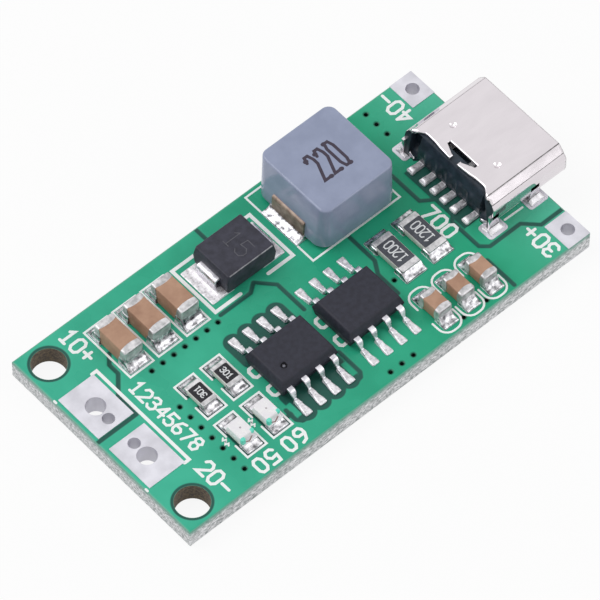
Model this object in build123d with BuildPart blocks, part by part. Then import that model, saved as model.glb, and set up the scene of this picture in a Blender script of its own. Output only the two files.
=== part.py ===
"""Lithium battery charger module: a bare circuit board with a USB-C socket and soldered parts.

Lengths are millimetres. +X runs along the board towards the socket, +Y to its rear edge, +Z up.
The origin is the middle of the outline in plan, on the plane that the underside lands rest on.
"""

from build123d import *
import os

os.makedirs("parts", exist_ok=True)

# Board and lands
board_thickness = 1.6
land_thickness = 0.05
plating = 0.05
print_thickness = 0.02
solder_hollow = 0.35
solder_margin = 0.06
mounting_hole = 2.5
mounting_hole_inset = 1.75
via_drill = 0.3

# Battery end
battery_land_length = 3.1
battery_land_width = 4.1
battery_land_inset = 0.3
battery_land_gap = 1.05
battery_hole_wide = 1.44
battery_hole_narrow = 0.9
battery_hole_gap = 0.13
battery_hole_margin = 0.325
battery_hole_inset = 1.85
bracket_gap = 0.2
bracket_line = 0.3

# Supply lands in the corners beside the socket
supply_land_length = 2.0
supply_land_width = 2.4
supply_hole = 1.0
supply_hole_inset = 0.95

# Output capacitors, in a row along the rear edge
capacitor_length = 3.2
capacitor_width = 1.6
capacitor_height = 1.6
capacitor_cap = 0.5
capacitor_toe = 0.65
capacitor_land_length = 1.35
capacitor_land_width = 1.8
capacitor_outline_gap = 0.32
outline_line = 0.14
outline_margin = 0.19
cap_wall = 0.04
cap_rounding = 0.1

# Diode
diode_length = 4.4
diode_width = 3.6
diode_height = 1.7
diode_end_draft = 0.16
diode_side_draft = 0.1
diode_strap_width = 1.9
diode_strap = 0.2
diode_strap_reach = 0.45
diode_strap_foot = 1.1
diode_toe = 0.6
diode_land_length = 2.0
diode_land_width = 3.35
diode_outline_width = 4.7
diode_outline_line = 0.28
diode_outline_margin = 0.375
diode_outline_break = 2.5
diode_shift_x = 0.18

# Inductor
inductor_length = 6.96
inductor_width = 6.95
inductor_height = 4.13
inductor_corner = 1.1
inductor_top_length = 6.44
inductor_top_width = 6.72
inductor_top_corner = 0.68
inductor_edge = 0.15
inductor_strap_width = 3.2
inductor_strap = 0.22
inductor_strap_set_in = 0.1
inductor_strap_rise = 1.7
inductor_strap_foot = 1.5
inductor_land_length = 2.0
inductor_land_width = 3.65
inductor_outline_ends = 0.545
inductor_outline_sides = 0.05
inductor_shift_x = 0.295
inductor_shift_y = -0.075

# Moulded circuits, eight leads each
circuit_length = 4.9
circuit_width = 3.9
circuit_height = 1.4
circuit_standoff = 0.1
circuit_end_draft = 0.22
circuit_side_draft = 0.32
circuit_dimple = 0.45
circuit_dimple_depth = 0.05
circuit_dimple_margin = 0.97
circuit_mark_length = 0.55
circuit_mark_width = 1.0
circuit_mark_pitch = 1.9
lead_pitch = 1.27
lead_width = 0.42
lead_thickness = 0.2
lead_span = 6.0
lead_foot = 0.45
lead_root = 0.15
lead_land_length = 1.45
lead_land_width = 0.62
lead_toe = 0.975
circuit_gap = 1.08

# Chip resistors and indicator lights, in two columns
chip_length = 2.0
chip_width = 1.25
chip_height = 0.5
chip_end = 0.35
chip_coat = 0.05
chip_coat_width = 1.1
chip_toe = 0.55
chip_land_length = 0.95
chip_land_width = 1.34
chip_outline_length = 3.5
chip_outline_margin = 0.24
chip_outline_break = 0.95
chip_column_pitch = 2.3
chip_row_gap = 0.5
light_base = 0.3
light_lens_length = 1.5
light_lens_height = 0.5
light_lens_draft = 0.12

# Current sense resistors
sense_length = 3.2
sense_width = 1.6
sense_height = 0.6
sense_end = 0.48
sense_coat_width = 1.5
sense_toe = 0.6
sense_land_length = 1.35
sense_land_width = 1.9
sense_pitch = 2.44

# Input capacitors
input_length = 2.0
input_width = 1.25
input_height = 1.25
input_cap = 0.42
input_toe = 0.7
input_land_length = 1.1
input_land_width = 1.3
input_outline_length = 4.3
input_outline_width = 1.95
input_outline_corner = 0.8
input_pitch = 2.08

# USB-C socket
shell_length = 7.0
shell_width = 8.9
shell_height = 3.0
shell_wall = 0.22
shell_corner = 1.1
shell_overhang = 1.95
shell_rear_bite = 0.82
shell_rear_crest = 0.2
shell_rear_shoulder = 0.54
shell_bite_inset = 0.85
shell_bite_reach = 0.8
shell_slot_width = 2.7
shell_slot_length = 0.3
shell_slot_inset = 1.35
shell_slot_slope = 0.4
shell_neck = 0.76
shell_dimple = 0.5
shell_dimple_depth = 0.07
shell_dimple_pitch = 4.5
shell_dimple_inset = 2.65
shell_notch = 0.35
leg_length = 0.85
leg_depth = 1.3
leg_front_margin = 0.905
leg_slot_length = 1.2
leg_slot_width = 0.6
leg_land_length = 1.7
leg_land_width = 1.4
leg_land_corner = 0.25
mound_height = 0.3
body_inset = 0.55
body_depth = 0.85
body_clearance = 0.03
body_tooth = 0.18
tooth_share = 0.6
post_reach = 0.4
post_width = 0.5
tongue_width = 6.69
tongue_thickness = 0.7
tongue_recess = 0.9
contact_inner = 0.5
contact_middle = 1.52
contact_outer = 2.75
contact_width = 0.42
contact_window_margin = 0.35
contact_thickness = 0.15
contact_reach = 0.8
contact_tip_recess = 0.5
contact_land_length = 1.6
contact_land_width = 0.55
plate_thickness = 0.15
plate_wing = 0.06

# Vias, in rows that stitch the copper of both faces
via_bank_shift = 0.4
via_bank_gap = 0.65
via_bank_pitch = 0.98
via_column_gap = 2.13
via_column_margin = 1.4
via_column_pitch = 1.08
via_corner_shift = 0.3
via_corner_margin = 0.65
via_front_margin = 0.65
via_front_pitch = 1.03
via_front_shift = 0.85
via_sense_gap = 1.1
via_sense_drop = 1.35
via_bank_count = 7
via_column_count = 7
via_corner_count = 3
via_input_count = 2

# Gaps between neighbours, along the board and across it
bank_gap = 1.13
diode_gap = 0.44
inductor_gap = 0.5
socket_gap = 1.7
chip_gap = 2.78
circuit_side_gap = 0.74
sense_gap = 1.48
input_gap = 0.55
front_margin = 1.7
row_gap = 1.0
rear_margin = 0.3
chip_margin = 1.83
input_margin = 0.2
sense_setback = 0.15

# Heights above the resting plane
board_bottom = land_thickness
board_top = board_bottom + board_thickness
seat = board_top + land_thickness

# Lands reach past the parts' ends by their toes
capacitor_land_span = capacitor_length + 2 * capacitor_toe
input_land_span = input_length + 2 * input_toe
sense_land_span = sense_length + 2 * sense_toe
chip_land_span = chip_length + 2 * chip_toe
lead_land_span = lead_span + 2 * lead_toe
diode_span = diode_length + 2 * diode_strap_reach
diode_land_span = diode_span + 2 * diode_toe

# Lengths along the board, from the battery end
battery_zone = battery_land_inset + battery_land_length + bracket_gap + bracket_line
capacitor_outline_width = capacitor_land_width + 2 * outline_margin
capacitor_pitch = capacitor_outline_width + capacitor_outline_gap
diode_outline_length = diode_land_span + 2 * diode_outline_margin
inductor_outline_length = inductor_length + 2 * inductor_outline_ends
inductor_outline_width = inductor_width + 2 * inductor_outline_sides
bank_start = battery_zone + bank_gap
diode_start = bank_start + 2 * capacitor_pitch + capacitor_outline_width + diode_gap
inductor_start = diode_start + diode_outline_length + inductor_gap
contact_start = inductor_start + inductor_outline_length + socket_gap
board_length = contact_start + contact_reach + shell_length - shell_overhang
board_width = front_margin + lead_land_span + row_gap + inductor_outline_width + rear_margin

# Edges of the board
battery_edge = -(board_length + shell_overhang) / 2
socket_edge = battery_edge + board_length
board_middle = (battery_edge + socket_edge) / 2
front_edge = -board_width / 2
rear_edge = board_width / 2

# Places of the rear row
rear_row = rear_edge - rear_margin - inductor_outline_width / 2
capacitor_first = battery_edge + bank_start + capacitor_outline_width / 2
capacitor_spots = [(capacitor_first + k * capacitor_pitch, rear_row) for k in range(3)]
diode_x = battery_edge + diode_start + diode_outline_length / 2
diode_body_x = diode_x + diode_shift_x
inductor_x = battery_edge + inductor_start + inductor_outline_length / 2
core_x = inductor_x + inductor_shift_x
core_y = rear_row + inductor_shift_y

# Places of the front rows
circuit_row = front_edge + front_margin + lead_land_span / 2
chip_outline_width = chip_land_width + 2 * chip_outline_margin
chip_column = battery_edge + battery_zone + chip_gap + chip_outline_width / 2
light_row = front_edge + chip_margin + chip_outline_length / 2
resistor_row = light_row + chip_outline_length + chip_row_gap
light_spots = [(chip_column + k * chip_column_pitch, light_row) for k in range(2)]
resistor_spots = [(chip_column + k * chip_column_pitch, resistor_row) for k in range(2)]
columns_end = chip_column + chip_column_pitch + chip_outline_width / 2
controller_x = columns_end + circuit_side_gap + circuit_length / 2
circuit_spots = [(controller_x + k * (circuit_length + circuit_gap), circuit_row) for k in range(2)]
circuits_end = circuit_spots[1][0] + circuit_length / 2
sense_row = circuit_row + lead_land_span / 2 - sense_setback - sense_land_span / 2
sense_first = circuits_end + sense_gap + sense_land_width / 2
sense_spots = [(sense_first + k * sense_pitch, sense_row) for k in range(2)]
input_row = front_edge + input_margin + input_outline_length / 2
input_first = circuits_end + input_gap + input_outline_width / 2
input_spots = [(input_first + k * input_pitch, input_row) for k in range(3)]

# Places at the ends of the board
hole_spots = [
    (battery_edge + mounting_hole_inset, side * (board_width / 2 - mounting_hole_inset)) for side in (-1, 1)
]
battery_x = battery_edge + battery_land_inset + battery_land_length / 2
battery_y = (battery_land_gap + battery_land_width) / 2
supply_x = socket_edge - supply_land_length / 2
supply_y = board_width / 2 - supply_land_width / 2
bracket_x = battery_edge + battery_zone - bracket_line / 2

# The socket's own levels and places
shell_front = socket_edge + shell_overhang
shell_rear = shell_front - shell_length
shell_middle = seat + shell_height / 2
shell_top = seat + shell_height
leg_y = (shell_width - shell_wall) / 2
leg_rear_x = shell_rear + leg_length / 2
leg_front_x = socket_edge - leg_front_margin
leg_spots = [(x, side * leg_y) for x in (leg_rear_x, leg_front_x) for side in (-1, 1)]
body_rear = shell_rear + body_inset
contact_tip = shell_rear - contact_reach
contact_places = [side * y for side in (-1, 1) for y in (contact_outer, contact_middle, contact_inner)]
window_width = 2 * (contact_outer + contact_width / 2 + contact_window_margin)
tongue_front = shell_front - tongue_recess

# Places of the vias
bank_row = rear_row - capacitor_land_span / 2 - via_bank_gap
column_x = battery_edge + battery_zone + via_column_gap
corner_x = shell_rear + via_corner_shift
front_row = front_edge + via_front_margin
front_first = circuit_spots[1][0] - circuit_length / 2 + via_front_shift
input_between = input_first + input_pitch / 2
via_spots = [
    *((capacitor_first + via_bank_shift + k * via_bank_pitch, bank_row) for k in range(via_bank_count)),
    *((column_x, front_edge + via_column_margin + k * via_column_pitch) for k in range(via_column_count)),
    *((corner_x, rear_edge - via_corner_margin - k * via_column_pitch) for k in range(via_corner_count)),
    *((front_first + k * via_front_pitch, front_row) for k in range(via_corner_count)),
    *((input_between + k * input_pitch, front_row) for k in range(via_input_count)),
    (circuits_end + via_sense_gap, sense_row - via_sense_drop),
]

LOW = (Align.CENTER, Align.CENTER, Align.MIN)


def keep(piece, label):
    """Names a finished piece and writes its file."""
    piece.part.label = label
    export_step(piece.part, f"parts/{label}.step")


def slab(x, y, z, length, width, height, mode=Mode.ADD):
    """Adds or cuts a block, placed by its middle in plan and its underside."""
    with Locations((x, y, z)):
        Box(length, width, height, align=LOW, mode=mode)


def plated_hole_spots(side):
    """Gives (x, y, diameter) of the two holes in a battery land, the narrow one nearer the middle."""
    narrow_y = battery_land_gap / 2 + battery_hole_margin + battery_hole_narrow / 2
    step = (battery_hole_wide + battery_hole_narrow) / 2 + battery_hole_gap
    x = battery_edge + battery_hole_inset
    return [(x, side * narrow_y, battery_hole_narrow), (x, side * (narrow_y + step), battery_hole_wide)]


def supply_hole_spot(side):
    """Gives (x, y, diameter) of the hole in a supply land."""
    return (socket_edge - supply_hole_inset, side * (board_width / 2 - supply_land_width / 2), supply_hole)


def land_pair(x, y, span, length, width):
    """Adds the two lands of a part that lies across the board."""
    for side in (-1, 1):
        slab(x, y + side * (span - length) / 2, board_top, width, length, land_thickness)


def land_pair_along(x, y, span, length, width):
    """Adds the two lands of a part that lies along the board."""
    for side in (-1, 1):
        slab(x + side * (span - length) / 2, y, board_top, length, width, land_thickness)


def solder_wedge(x, y, toward, width, run, rise):
    """Adds a hollow-faced wedge of solder that climbs an upright face at (x, y)."""
    across, along = toward
    upright = Plane(origin=(x, y, seat), x_dir=(across, along, 0), z_dir=(along, -across, 0))
    with BuildSketch(upright) as wedge:
        with BuildLine():
            Polyline((0, 0), (run, 0), (run * solder_hollow, rise * solder_hollow), (0, rise), close=True)
        make_face()
    extrude(wedge.sketch, amount=width / 2, both=True)


def wedge_pair(x, y, length, span, width, rise):
    """Adds the solder at both ends of a part that lies across the board."""
    for side in (-1, 1):
        solder_wedge(x, y + side * length / 2, (0, side), width, (span - length) / 2 - solder_margin, rise)


def moulded_body(x, y, base, height, length, width, end_draft, side_draft):
    """Adds a moulded block, widest at its parting line halfway up."""
    levels = ((base, 0.5), (base + height / 2, 0.0), (base + height, 1.0))
    rims = []
    for level, inset in levels:
        with BuildSketch(Plane.XY.offset(level)) as rim:
            with Locations((x, y)):
                Rectangle(length - 2 * inset * end_draft, width - 2 * inset * side_draft)
        rims.append(rim.sketch)
    for low, high in zip(rims, rims[1:]):
        loft([low, high])


def solder_mound(x, y, length, width):
    """Adds a low mound of solder with sloping sides."""
    rims = []
    for level, inset in ((seat, 0), (seat + mound_height, mound_height)):
        with BuildSketch(Plane.XY.offset(level)) as rim:
            with Locations((x, y)):
                Rectangle(length - 2 * inset, width - 2 * inset)
        rims.append(rim.sketch)
    loft(rims)


# Circuit board: one laminate with its holes, leg slots and vias
with BuildPart() as circuit_board:
    with BuildSketch(Plane.XY.offset(board_bottom)):
        with Locations((board_middle, 0)):
            Rectangle(board_length, board_width)
        with Locations(*hole_spots):
            Circle(mounting_hole / 2, mode=Mode.SUBTRACT)
        for side in (-1, 1):
            for x, y, diameter in plated_hole_spots(side) + [supply_hole_spot(side)]:
                with Locations((x, y)):
                    Circle(diameter / 2 + plating, mode=Mode.SUBTRACT)
        with Locations(*leg_spots):
            SlotOverall(leg_slot_length + 2 * plating, leg_slot_width + 2 * plating, mode=Mode.SUBTRACT)
        with Locations(*via_spots):
            Circle(via_drill / 2, mode=Mode.SUBTRACT)
    extrude(amount=board_thickness)
keep(circuit_board, "circuit_board")


def plated_land(label, x, y, length, width, holes):
    """Makes a land on both faces of the board, joined through its plated holes."""
    with BuildPart() as land:
        for level in (0, board_top):
            slab(x, y, level, length, width, land_thickness)
        for hole_x, hole_y, diameter in holes:
            with Locations((hole_x, hole_y, 0)):
                Cylinder(diameter / 2 + plating, seat, align=LOW)
        for hole_x, hole_y, diameter in holes:
            with Locations((hole_x, hole_y, 0)):
                Cylinder(diameter / 2, seat, align=LOW, mode=Mode.SUBTRACT)
    keep(land, label)


# Battery and supply lands: plated copper, where the leads are soldered
for side, pole in ((1, "positive"), (-1, "negative")):
    plated_land(
        f"battery_land_{pole}",
        battery_x,
        side * battery_y,
        battery_land_length,
        battery_land_width,
        plated_hole_spots(side),
    )
for side, pole in ((-1, "positive"), (1, "negative")):
    plated_land(
        f"charge_input_land_{pole}",
        supply_x,
        side * supply_y,
        supply_land_length,
        supply_land_width,
        [supply_hole_spot(side)],
    )

# Lands of the socket's legs, plated through their slots
with BuildPart() as socket_leg_lands:
    for level in (0, board_top):
        with BuildSketch(Plane.XY.offset(level)):
            with Locations(*leg_spots):
                RectangleRounded(leg_land_length, leg_land_width, leg_land_corner)
        extrude(amount=land_thickness)
    with BuildSketch():
        with Locations(*leg_spots):
            SlotOverall(leg_slot_length + 2 * plating, leg_slot_width + 2 * plating)
    extrude(amount=seat)
    with BuildSketch():
        with Locations(*leg_spots):
            SlotOverall(leg_slot_length, leg_slot_width)
    extrude(amount=seat, mode=Mode.SUBTRACT)
keep(socket_leg_lands, "socket_leg_lands")

# Tinned lands under the other parts
with BuildPart() as component_lands:
    for x, y in capacitor_spots:
        land_pair(x, y, capacitor_land_span, capacitor_land_length, capacitor_land_width)
    for x, y in input_spots:
        land_pair(x, y, input_land_span, input_land_length, input_land_width)
    for x, y in sense_spots:
        land_pair(x, y, sense_land_span, sense_land_length, sense_land_width)
    for x, y in resistor_spots + light_spots:
        land_pair(x, y, chip_land_span, chip_land_length, chip_land_width)
    for x, y in circuit_spots:
        for k in range(4):
            lead_x = x + (k - 1.5) * lead_pitch
            land_pair(lead_x, y, lead_land_span, lead_land_length, lead_land_width)
    land_pair_along(diode_x, rear_row, diode_land_span, diode_land_length, diode_land_width)
    land_pair_along(inductor_x, rear_row, inductor_outline_length, inductor_land_length, inductor_land_width)
    contact_land_x = contact_tip + contact_land_length / 2
    for y in contact_places:
        slab(contact_land_x, y, board_top, contact_land_length, contact_land_width, land_thickness)
keep(component_lands, "component_lands")


def outline_box(x, y, length, width, line):
    """Draws the four lines of a printed outline, given its outer size."""
    with Locations((x, y)):
        Rectangle(length, width)
        Rectangle(length - 2 * line, width - 2 * line, mode=Mode.SUBTRACT)


def outline_break(x, y, length, width):
    """Wipes a stretch of a printed outline."""
    with Locations((x, y)):
        Rectangle(length, width, mode=Mode.SUBTRACT)


def printed(label_sketch):
    """Raises the last sketch to the thickness of the ink."""
    extrude(label_sketch, amount=print_thickness)


# Legend print: white ink outlines, the battery bracket and the pin-one brackets
with BuildPart() as legend_print:
    for x, y in capacitor_spots:
        with BuildSketch(Plane.XY.offset(board_top)) as outline:
            outline_width = capacitor_outline_width
            outline_box(x, y, outline_width, capacitor_land_span + 2 * outline_margin, outline_line)
        printed(outline.sketch)
    for x, y in resistor_spots + light_spots:
        with BuildSketch(Plane.XY.offset(board_top)) as outline:
            outline_box(x, y, chip_outline_width, chip_outline_length, outline_line)
            outline_break(x - chip_outline_width / 2, y, 2 * outline_line, chip_outline_break)
        printed(outline.sketch)
    with BuildSketch(Plane.XY.offset(board_top)) as outline:
        outline_box(diode_x, rear_row, diode_outline_length, diode_outline_width, diode_outline_line)
        front_line = rear_row - diode_outline_width / 2
        outline_break(diode_x, front_line, diode_outline_break, 2 * diode_outline_line)
    printed(outline.sketch)
    with BuildSketch(Plane.XY.offset(board_top)) as outline:
        outline_box(inductor_x, rear_row, inductor_outline_length, inductor_outline_width, outline_line)
        for side in (-1, 1):
            edge = inductor_x + side * inductor_outline_length / 2
            outline_break(edge, rear_row, 4 * outline_line, inductor_land_width + outline_line)
    printed(outline.sketch)
    for x, y in input_spots:
        with BuildSketch(Plane.XY.offset(board_top)) as outline:
            with Locations((x, y)):
                RectangleRounded(input_outline_width, input_outline_length, input_outline_corner)
                inner_width = input_outline_width - 2 * outline_line
                inner_length = input_outline_length - 2 * outline_line
                inner_corner = input_outline_corner - outline_line
                RectangleRounded(inner_width, inner_length, inner_corner, mode=Mode.SUBTRACT)
            outline_break(x, y, 2 * input_outline_width, input_land_span - 2 * input_land_length)
        printed(outline.sketch)
    with BuildSketch(Plane.XY.offset(board_top)) as outline:
        with Locations((bracket_x, 0)):
            Rectangle(bracket_line, 2 * battery_land_width + battery_land_gap + 2 * bracket_gap)
    printed(outline.sketch)
    for x, y in circuit_spots:
        for side in (-1, 1):
            with BuildSketch(Plane.XY.offset(board_top)) as outline:
                mark_x = x - circuit_length / 2 + outline_line
                mark_y = y + side * circuit_mark_pitch / 2
                outline_box(mark_x, mark_y, 2 * circuit_mark_length, circuit_mark_width, outline_line)
                open_x = mark_x + circuit_mark_length / 2
                outline_break(open_x, mark_y, circuit_mark_length, circuit_mark_width)
            printed(outline.sketch)
    with BuildSketch(Plane.XY.offset(board_top)) as outline:
        with Locations(((leg_rear_x + leg_front_x) / 2 + outline_line, -leg_y)):
            Rectangle(leg_front_x - leg_rear_x - leg_land_length - 2 * outline_line, outline_line)
    printed(outline.sketch)
keep(legend_print, "legend_print")

# Socket shell: one sheet folded to a rounded tube, with legs, a rear lock slot and two dimples
with BuildPart() as socket_shell:
    with BuildSketch(Plane.YZ.offset(shell_rear)):
        with Locations((0, shell_middle)):
            RectangleRounded(shell_width, shell_height, shell_corner)
            inner_width = shell_width - 2 * shell_wall
            inner_height = shell_height - 2 * shell_wall
            RectangleRounded(inner_width, inner_height, shell_corner - shell_wall, mode=Mode.SUBTRACT)
    extrude(amount=shell_length)
    flat = shell_width / 2 - shell_corner
    bite = shell_rear + shell_rear_bite
    with BuildSketch(Plane.XY.offset(shell_middle)):
        with BuildLine():
            bite_end = flat + shell_bite_reach
            Spline(
                (shell_rear, -bite_end),
                (bite - shell_rear_shoulder, -flat - shell_bite_reach / 2),
                (bite, shell_bite_inset - flat),
                (bite - shell_rear_crest, 0),
                (bite, flat - shell_bite_inset),
                (bite - shell_rear_shoulder, flat + shell_bite_reach / 2),
                (shell_rear, bite_end),
            )
            Line((shell_rear, bite_end), (shell_rear, -bite_end))
        make_face()
    extrude(amount=shell_height, mode=Mode.SUBTRACT)
    slot_rear = shell_rear + shell_slot_inset
    with BuildSketch(Plane.XY.offset(shell_middle)):
        with BuildLine():
            Polyline(
                (slot_rear + shell_slot_length, -shell_slot_width / 2),
                (slot_rear + shell_slot_length, shell_slot_width / 2),
                (slot_rear, shell_slot_width / 2),
                (slot_rear - shell_slot_slope, shell_neck / 2),
                (shell_rear, shell_neck / 2),
                (shell_rear, -shell_neck / 2),
                (slot_rear - shell_slot_slope, -shell_neck / 2),
                (slot_rear, -shell_slot_width / 2),
                close=True,
            )
        make_face()
    extrude(amount=shell_height, mode=Mode.SUBTRACT)
    floor_cut = body_inset + body_depth
    slab(shell_rear + floor_cut / 2, 0, seat, floor_cut, window_width, shell_middle - seat, Mode.SUBTRACT)
    dimple_ball = (shell_dimple**2 / 4 + shell_dimple_depth**2) / (2 * shell_dimple_depth)
    for side in (-1, 1):
        spot = (shell_rear + shell_dimple_inset, side * shell_dimple_pitch / 2)
        with Locations((*spot, shell_top + dimple_ball - shell_dimple_depth)):
            Sphere(dimple_ball, mode=Mode.SUBTRACT)
    for x, y in leg_spots:
        slab(x, y, board_top - leg_depth, leg_length, shell_wall, shell_middle - board_top + leg_depth)
    for side in (-1, 1):
        notch_x = leg_front_x + leg_length / 2 + shell_notch
        slab(notch_x, side * leg_y, seat, shell_notch, shell_corner, shell_notch + shell_wall, Mode.SUBTRACT)
keep(socket_shell, "socket_shell")

# Socket contacts: six strips, each with a solder foot, a riser and a blade on the tongue
with BuildPart() as socket_contacts:
    riser_x = body_rear + body_depth / 2
    blade_end = tongue_front - contact_tip_recess
    for k, y in enumerate(contact_places):
        top_blade = k % 2 == 0
        blade = shell_middle + tongue_thickness / 2 - contact_thickness
        if not top_blade:
            blade = shell_middle - tongue_thickness / 2
        foot_end = riser_x + contact_thickness
        rise = blade + contact_thickness - seat
        slab((contact_tip + foot_end) / 2, y, seat, foot_end - contact_tip, contact_width, contact_thickness)
        slab(riser_x + contact_thickness / 2, y, seat, contact_thickness, contact_width, rise)
        slab((riser_x + blade_end) / 2, y, blade, blade_end - riser_x, contact_width, contact_thickness)
keep(socket_contacts, "socket_contacts")

# Socket plate: the latch plate inside the tongue, proud at both edges
with BuildPart() as socket_plate:
    plate_end = tongue_front - contact_tip_recess
    plate_start = body_rear + body_depth
    plate_z = shell_middle - plate_thickness / 2
    plate_width = tongue_width + 2 * plate_wing
    slab((plate_start + plate_end) / 2, 0, plate_z, plate_end - plate_start, plate_width, plate_thickness)
keep(socket_plate, "socket_plate")

# Socket tongue: moulded round the blades and the plate
with BuildPart() as socket_tongue:
    tongue_rear = body_rear + body_depth
    tongue_z = shell_middle - tongue_thickness / 2
    tongue_length = tongue_front - tongue_rear
    slab(tongue_rear + tongue_length / 2, 0, tongue_z, tongue_length, tongue_width, tongue_thickness)
    edges_to_round = socket_tongue.faces().sort_by(Axis.X)[-1].edges()
    fillet(edges_to_round, tongue_thickness / 4)
    add(socket_contacts.part, mode=Mode.SUBTRACT)
    add(socket_plate.part, mode=Mode.SUBTRACT)
keep(socket_tongue, "socket_tongue")

# Socket body: black moulding that closes the shell's rear, with teeth between the contacts and two posts
with BuildPart() as socket_body:
    with BuildSketch(Plane.YZ.offset(body_rear - post_reach)):
        with Locations((0, shell_middle)):
            inner_width = shell_width - 2 * shell_wall - 2 * body_clearance
            inner_height = shell_height - 2 * shell_wall - 2 * body_clearance
            RectangleRounded(inner_width, inner_height, shell_corner - shell_wall)
    extrude(amount=body_depth + post_reach)
    between_posts = inner_width - 2 * post_width
    slab(body_rear - post_reach / 2, 0, seat, post_reach, between_posts, shell_height, Mode.SUBTRACT)
    body_base = board_top + land_thickness
    plug_height = shell_middle - body_base
    plug_width = window_width - 2 * body_clearance
    slab(body_rear + body_depth / 2, 0, body_base, body_depth - body_clearance, plug_width, plug_height)
    in_order = sorted(contact_places)
    for low_y, high_y in zip(in_order, in_order[1:]):
        tooth_y, tooth_width = (low_y + high_y) / 2, high_y - low_y - contact_width - 2 * body_clearance
        slab(body_rear - body_tooth / 2, tooth_y, body_base, body_tooth, tooth_width, shell_height * tooth_share)
    add(socket_contacts.part, mode=Mode.SUBTRACT)
keep(socket_body, "socket_body")

# Inductor terminals: flat copper straps that leave the core low down and turn under it
core_bottom = seat + inductor_strap
terminals = {}
for side, place in ((-1, "battery_side"), (1, "socket_side")):
    with BuildPart() as inductor_terminal:
        face_x = core_x + side * (inductor_length / 2 - inductor_strap_set_in)
        upright_x = face_x + side * inductor_strap / 2
        slab(upright_x, core_y, seat, inductor_strap, inductor_strap_width, inductor_strap_rise)
        foot_x = face_x + side * (inductor_strap - inductor_strap_foot) / 2
        foot_length = inductor_strap_foot + inductor_strap
        slab(foot_x, core_y, seat, foot_length, inductor_strap_width, inductor_strap)
        root_x = face_x - side * inductor_strap / 2
        root_z = seat + inductor_strap_rise - inductor_strap
        slab(root_x, core_y, root_z, 2 * inductor_strap, inductor_strap_width, inductor_strap)
    keep(inductor_terminal, f"inductor_terminal_{place}")
    terminals[place] = inductor_terminal.part

# Inductor core: pressed powder block with drafted sides and rounded corners
with BuildPart() as inductor_core:
    with BuildSketch(Plane.XY.offset(core_bottom)):
        with Locations((core_x, core_y)):
            RectangleRounded(inductor_length, inductor_width, inductor_corner)
    with BuildSketch(Plane.XY.offset(core_bottom + inductor_height)):
        with Locations((core_x, core_y)):
            RectangleRounded(inductor_top_length, inductor_top_width, inductor_top_corner)
    loft(ruled=True)
    fillet(inductor_core.faces().sort_by(Axis.Z)[-1].edges(), inductor_edge)
    for terminal in terminals.values():
        add(terminal, mode=Mode.SUBTRACT)
keep(inductor_core, "inductor_core")

# Diode terminals: straps that leave the body halfway up and fold under it
with BuildPart() as diode_terminals:
    diode_bottom = seat + diode_strap
    strap_z = diode_bottom + diode_height / 2
    for side in (-1, 1):
        outer = diode_body_x + side * (diode_length / 2 + diode_strap_reach)
        upright_x = outer - side * diode_strap / 2
        slab(upright_x, rear_row, seat, diode_strap, diode_strap_width, strap_z - seat + diode_strap / 2)
        root_length = diode_strap_reach + 2 * diode_strap
        root_x = outer - side * root_length / 2
        slab(root_x, rear_row, strap_z - diode_strap / 2, root_length, diode_strap_width, diode_strap)
        foot_length = diode_strap_reach + diode_strap_foot
        slab(outer - side * foot_length / 2, rear_row, seat, foot_length, diode_strap_width, diode_strap)
keep(diode_terminals, "diode_terminals")

# Diode body: moulded block with drafted faces
with BuildPart() as diode_body:
    moulded_body(
        diode_body_x,
        rear_row,
        diode_bottom,
        diode_height,
        diode_length,
        diode_width,
        diode_end_draft,
        diode_side_draft,
    )
    add(diode_terminals.part, mode=Mode.SUBTRACT)
keep(diode_body, "diode_body")


def capacitor(label, x, y, length, width, height, cap):
    """Makes a ceramic block and the two metal caps that wrap its ends."""
    with BuildPart() as ceramic:
        slab(x, y, seat + cap_wall, width - 2 * cap_wall, length - 2 * cap_wall, height - 2 * cap_wall)
    keep(ceramic, f"{label}_body")
    with BuildPart() as ends:
        for side in (-1, 1):
            slab(x, y + side * (length - cap) / 2, seat, width, cap, height)
        upright = ends.edges().filter_by(Axis.Z)
        outer = upright.group_by(Axis.Y)[0] + upright.group_by(Axis.Y)[-1]
        fillet(outer, cap_rounding)
        add(ceramic.part, mode=Mode.SUBTRACT)
    keep(ends, f"{label}_ends")


# Capacitors: three at the output, three at the input
output_size = (capacitor_length, capacitor_width, capacitor_height, capacitor_cap)
for number, (x, y) in enumerate(capacitor_spots, start=1):
    capacitor(f"output_capacitor_{number}", x, y, *output_size)
for number, (x, y) in enumerate(input_spots, start=1):
    capacitor(f"input_capacitor_{number}", x, y, input_length, input_width, input_height, input_cap)


def resistor(label, x, y, length, width, height, end, coat_width):
    """Makes a ceramic chip, its two wrapped ends and the dark coat between them."""
    with BuildPart() as substrate:
        slab(x, y, seat + cap_wall, width, length - 2 * cap_wall, height - 2 * cap_wall)
    keep(substrate, f"{label}_substrate")
    with BuildPart() as ends:
        for side in (-1, 1):
            slab(x, y + side * (length - end) / 2, seat, width, end, height)
        add(substrate.part, mode=Mode.SUBTRACT)
    keep(ends, f"{label}_ends")
    with BuildPart() as coat:
        slab(x, y, seat + height - cap_wall, coat_width, length - 2 * end, chip_coat)
    keep(coat, f"{label}_coat")


# Resistors: two for sensing the current, two for the indicator lights
sense_size = (sense_length, sense_width, sense_height, sense_end, sense_coat_width)
for number, (x, y) in enumerate(sense_spots, start=1):
    resistor(f"sense_resistor_{number}", x, y, *sense_size)
chip_size = (chip_length, chip_width, chip_height, chip_end, chip_coat_width)
for number, (x, y) in enumerate(resistor_spots, start=1):
    resistor(f"light_resistor_{number}", x, y, *chip_size)

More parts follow.
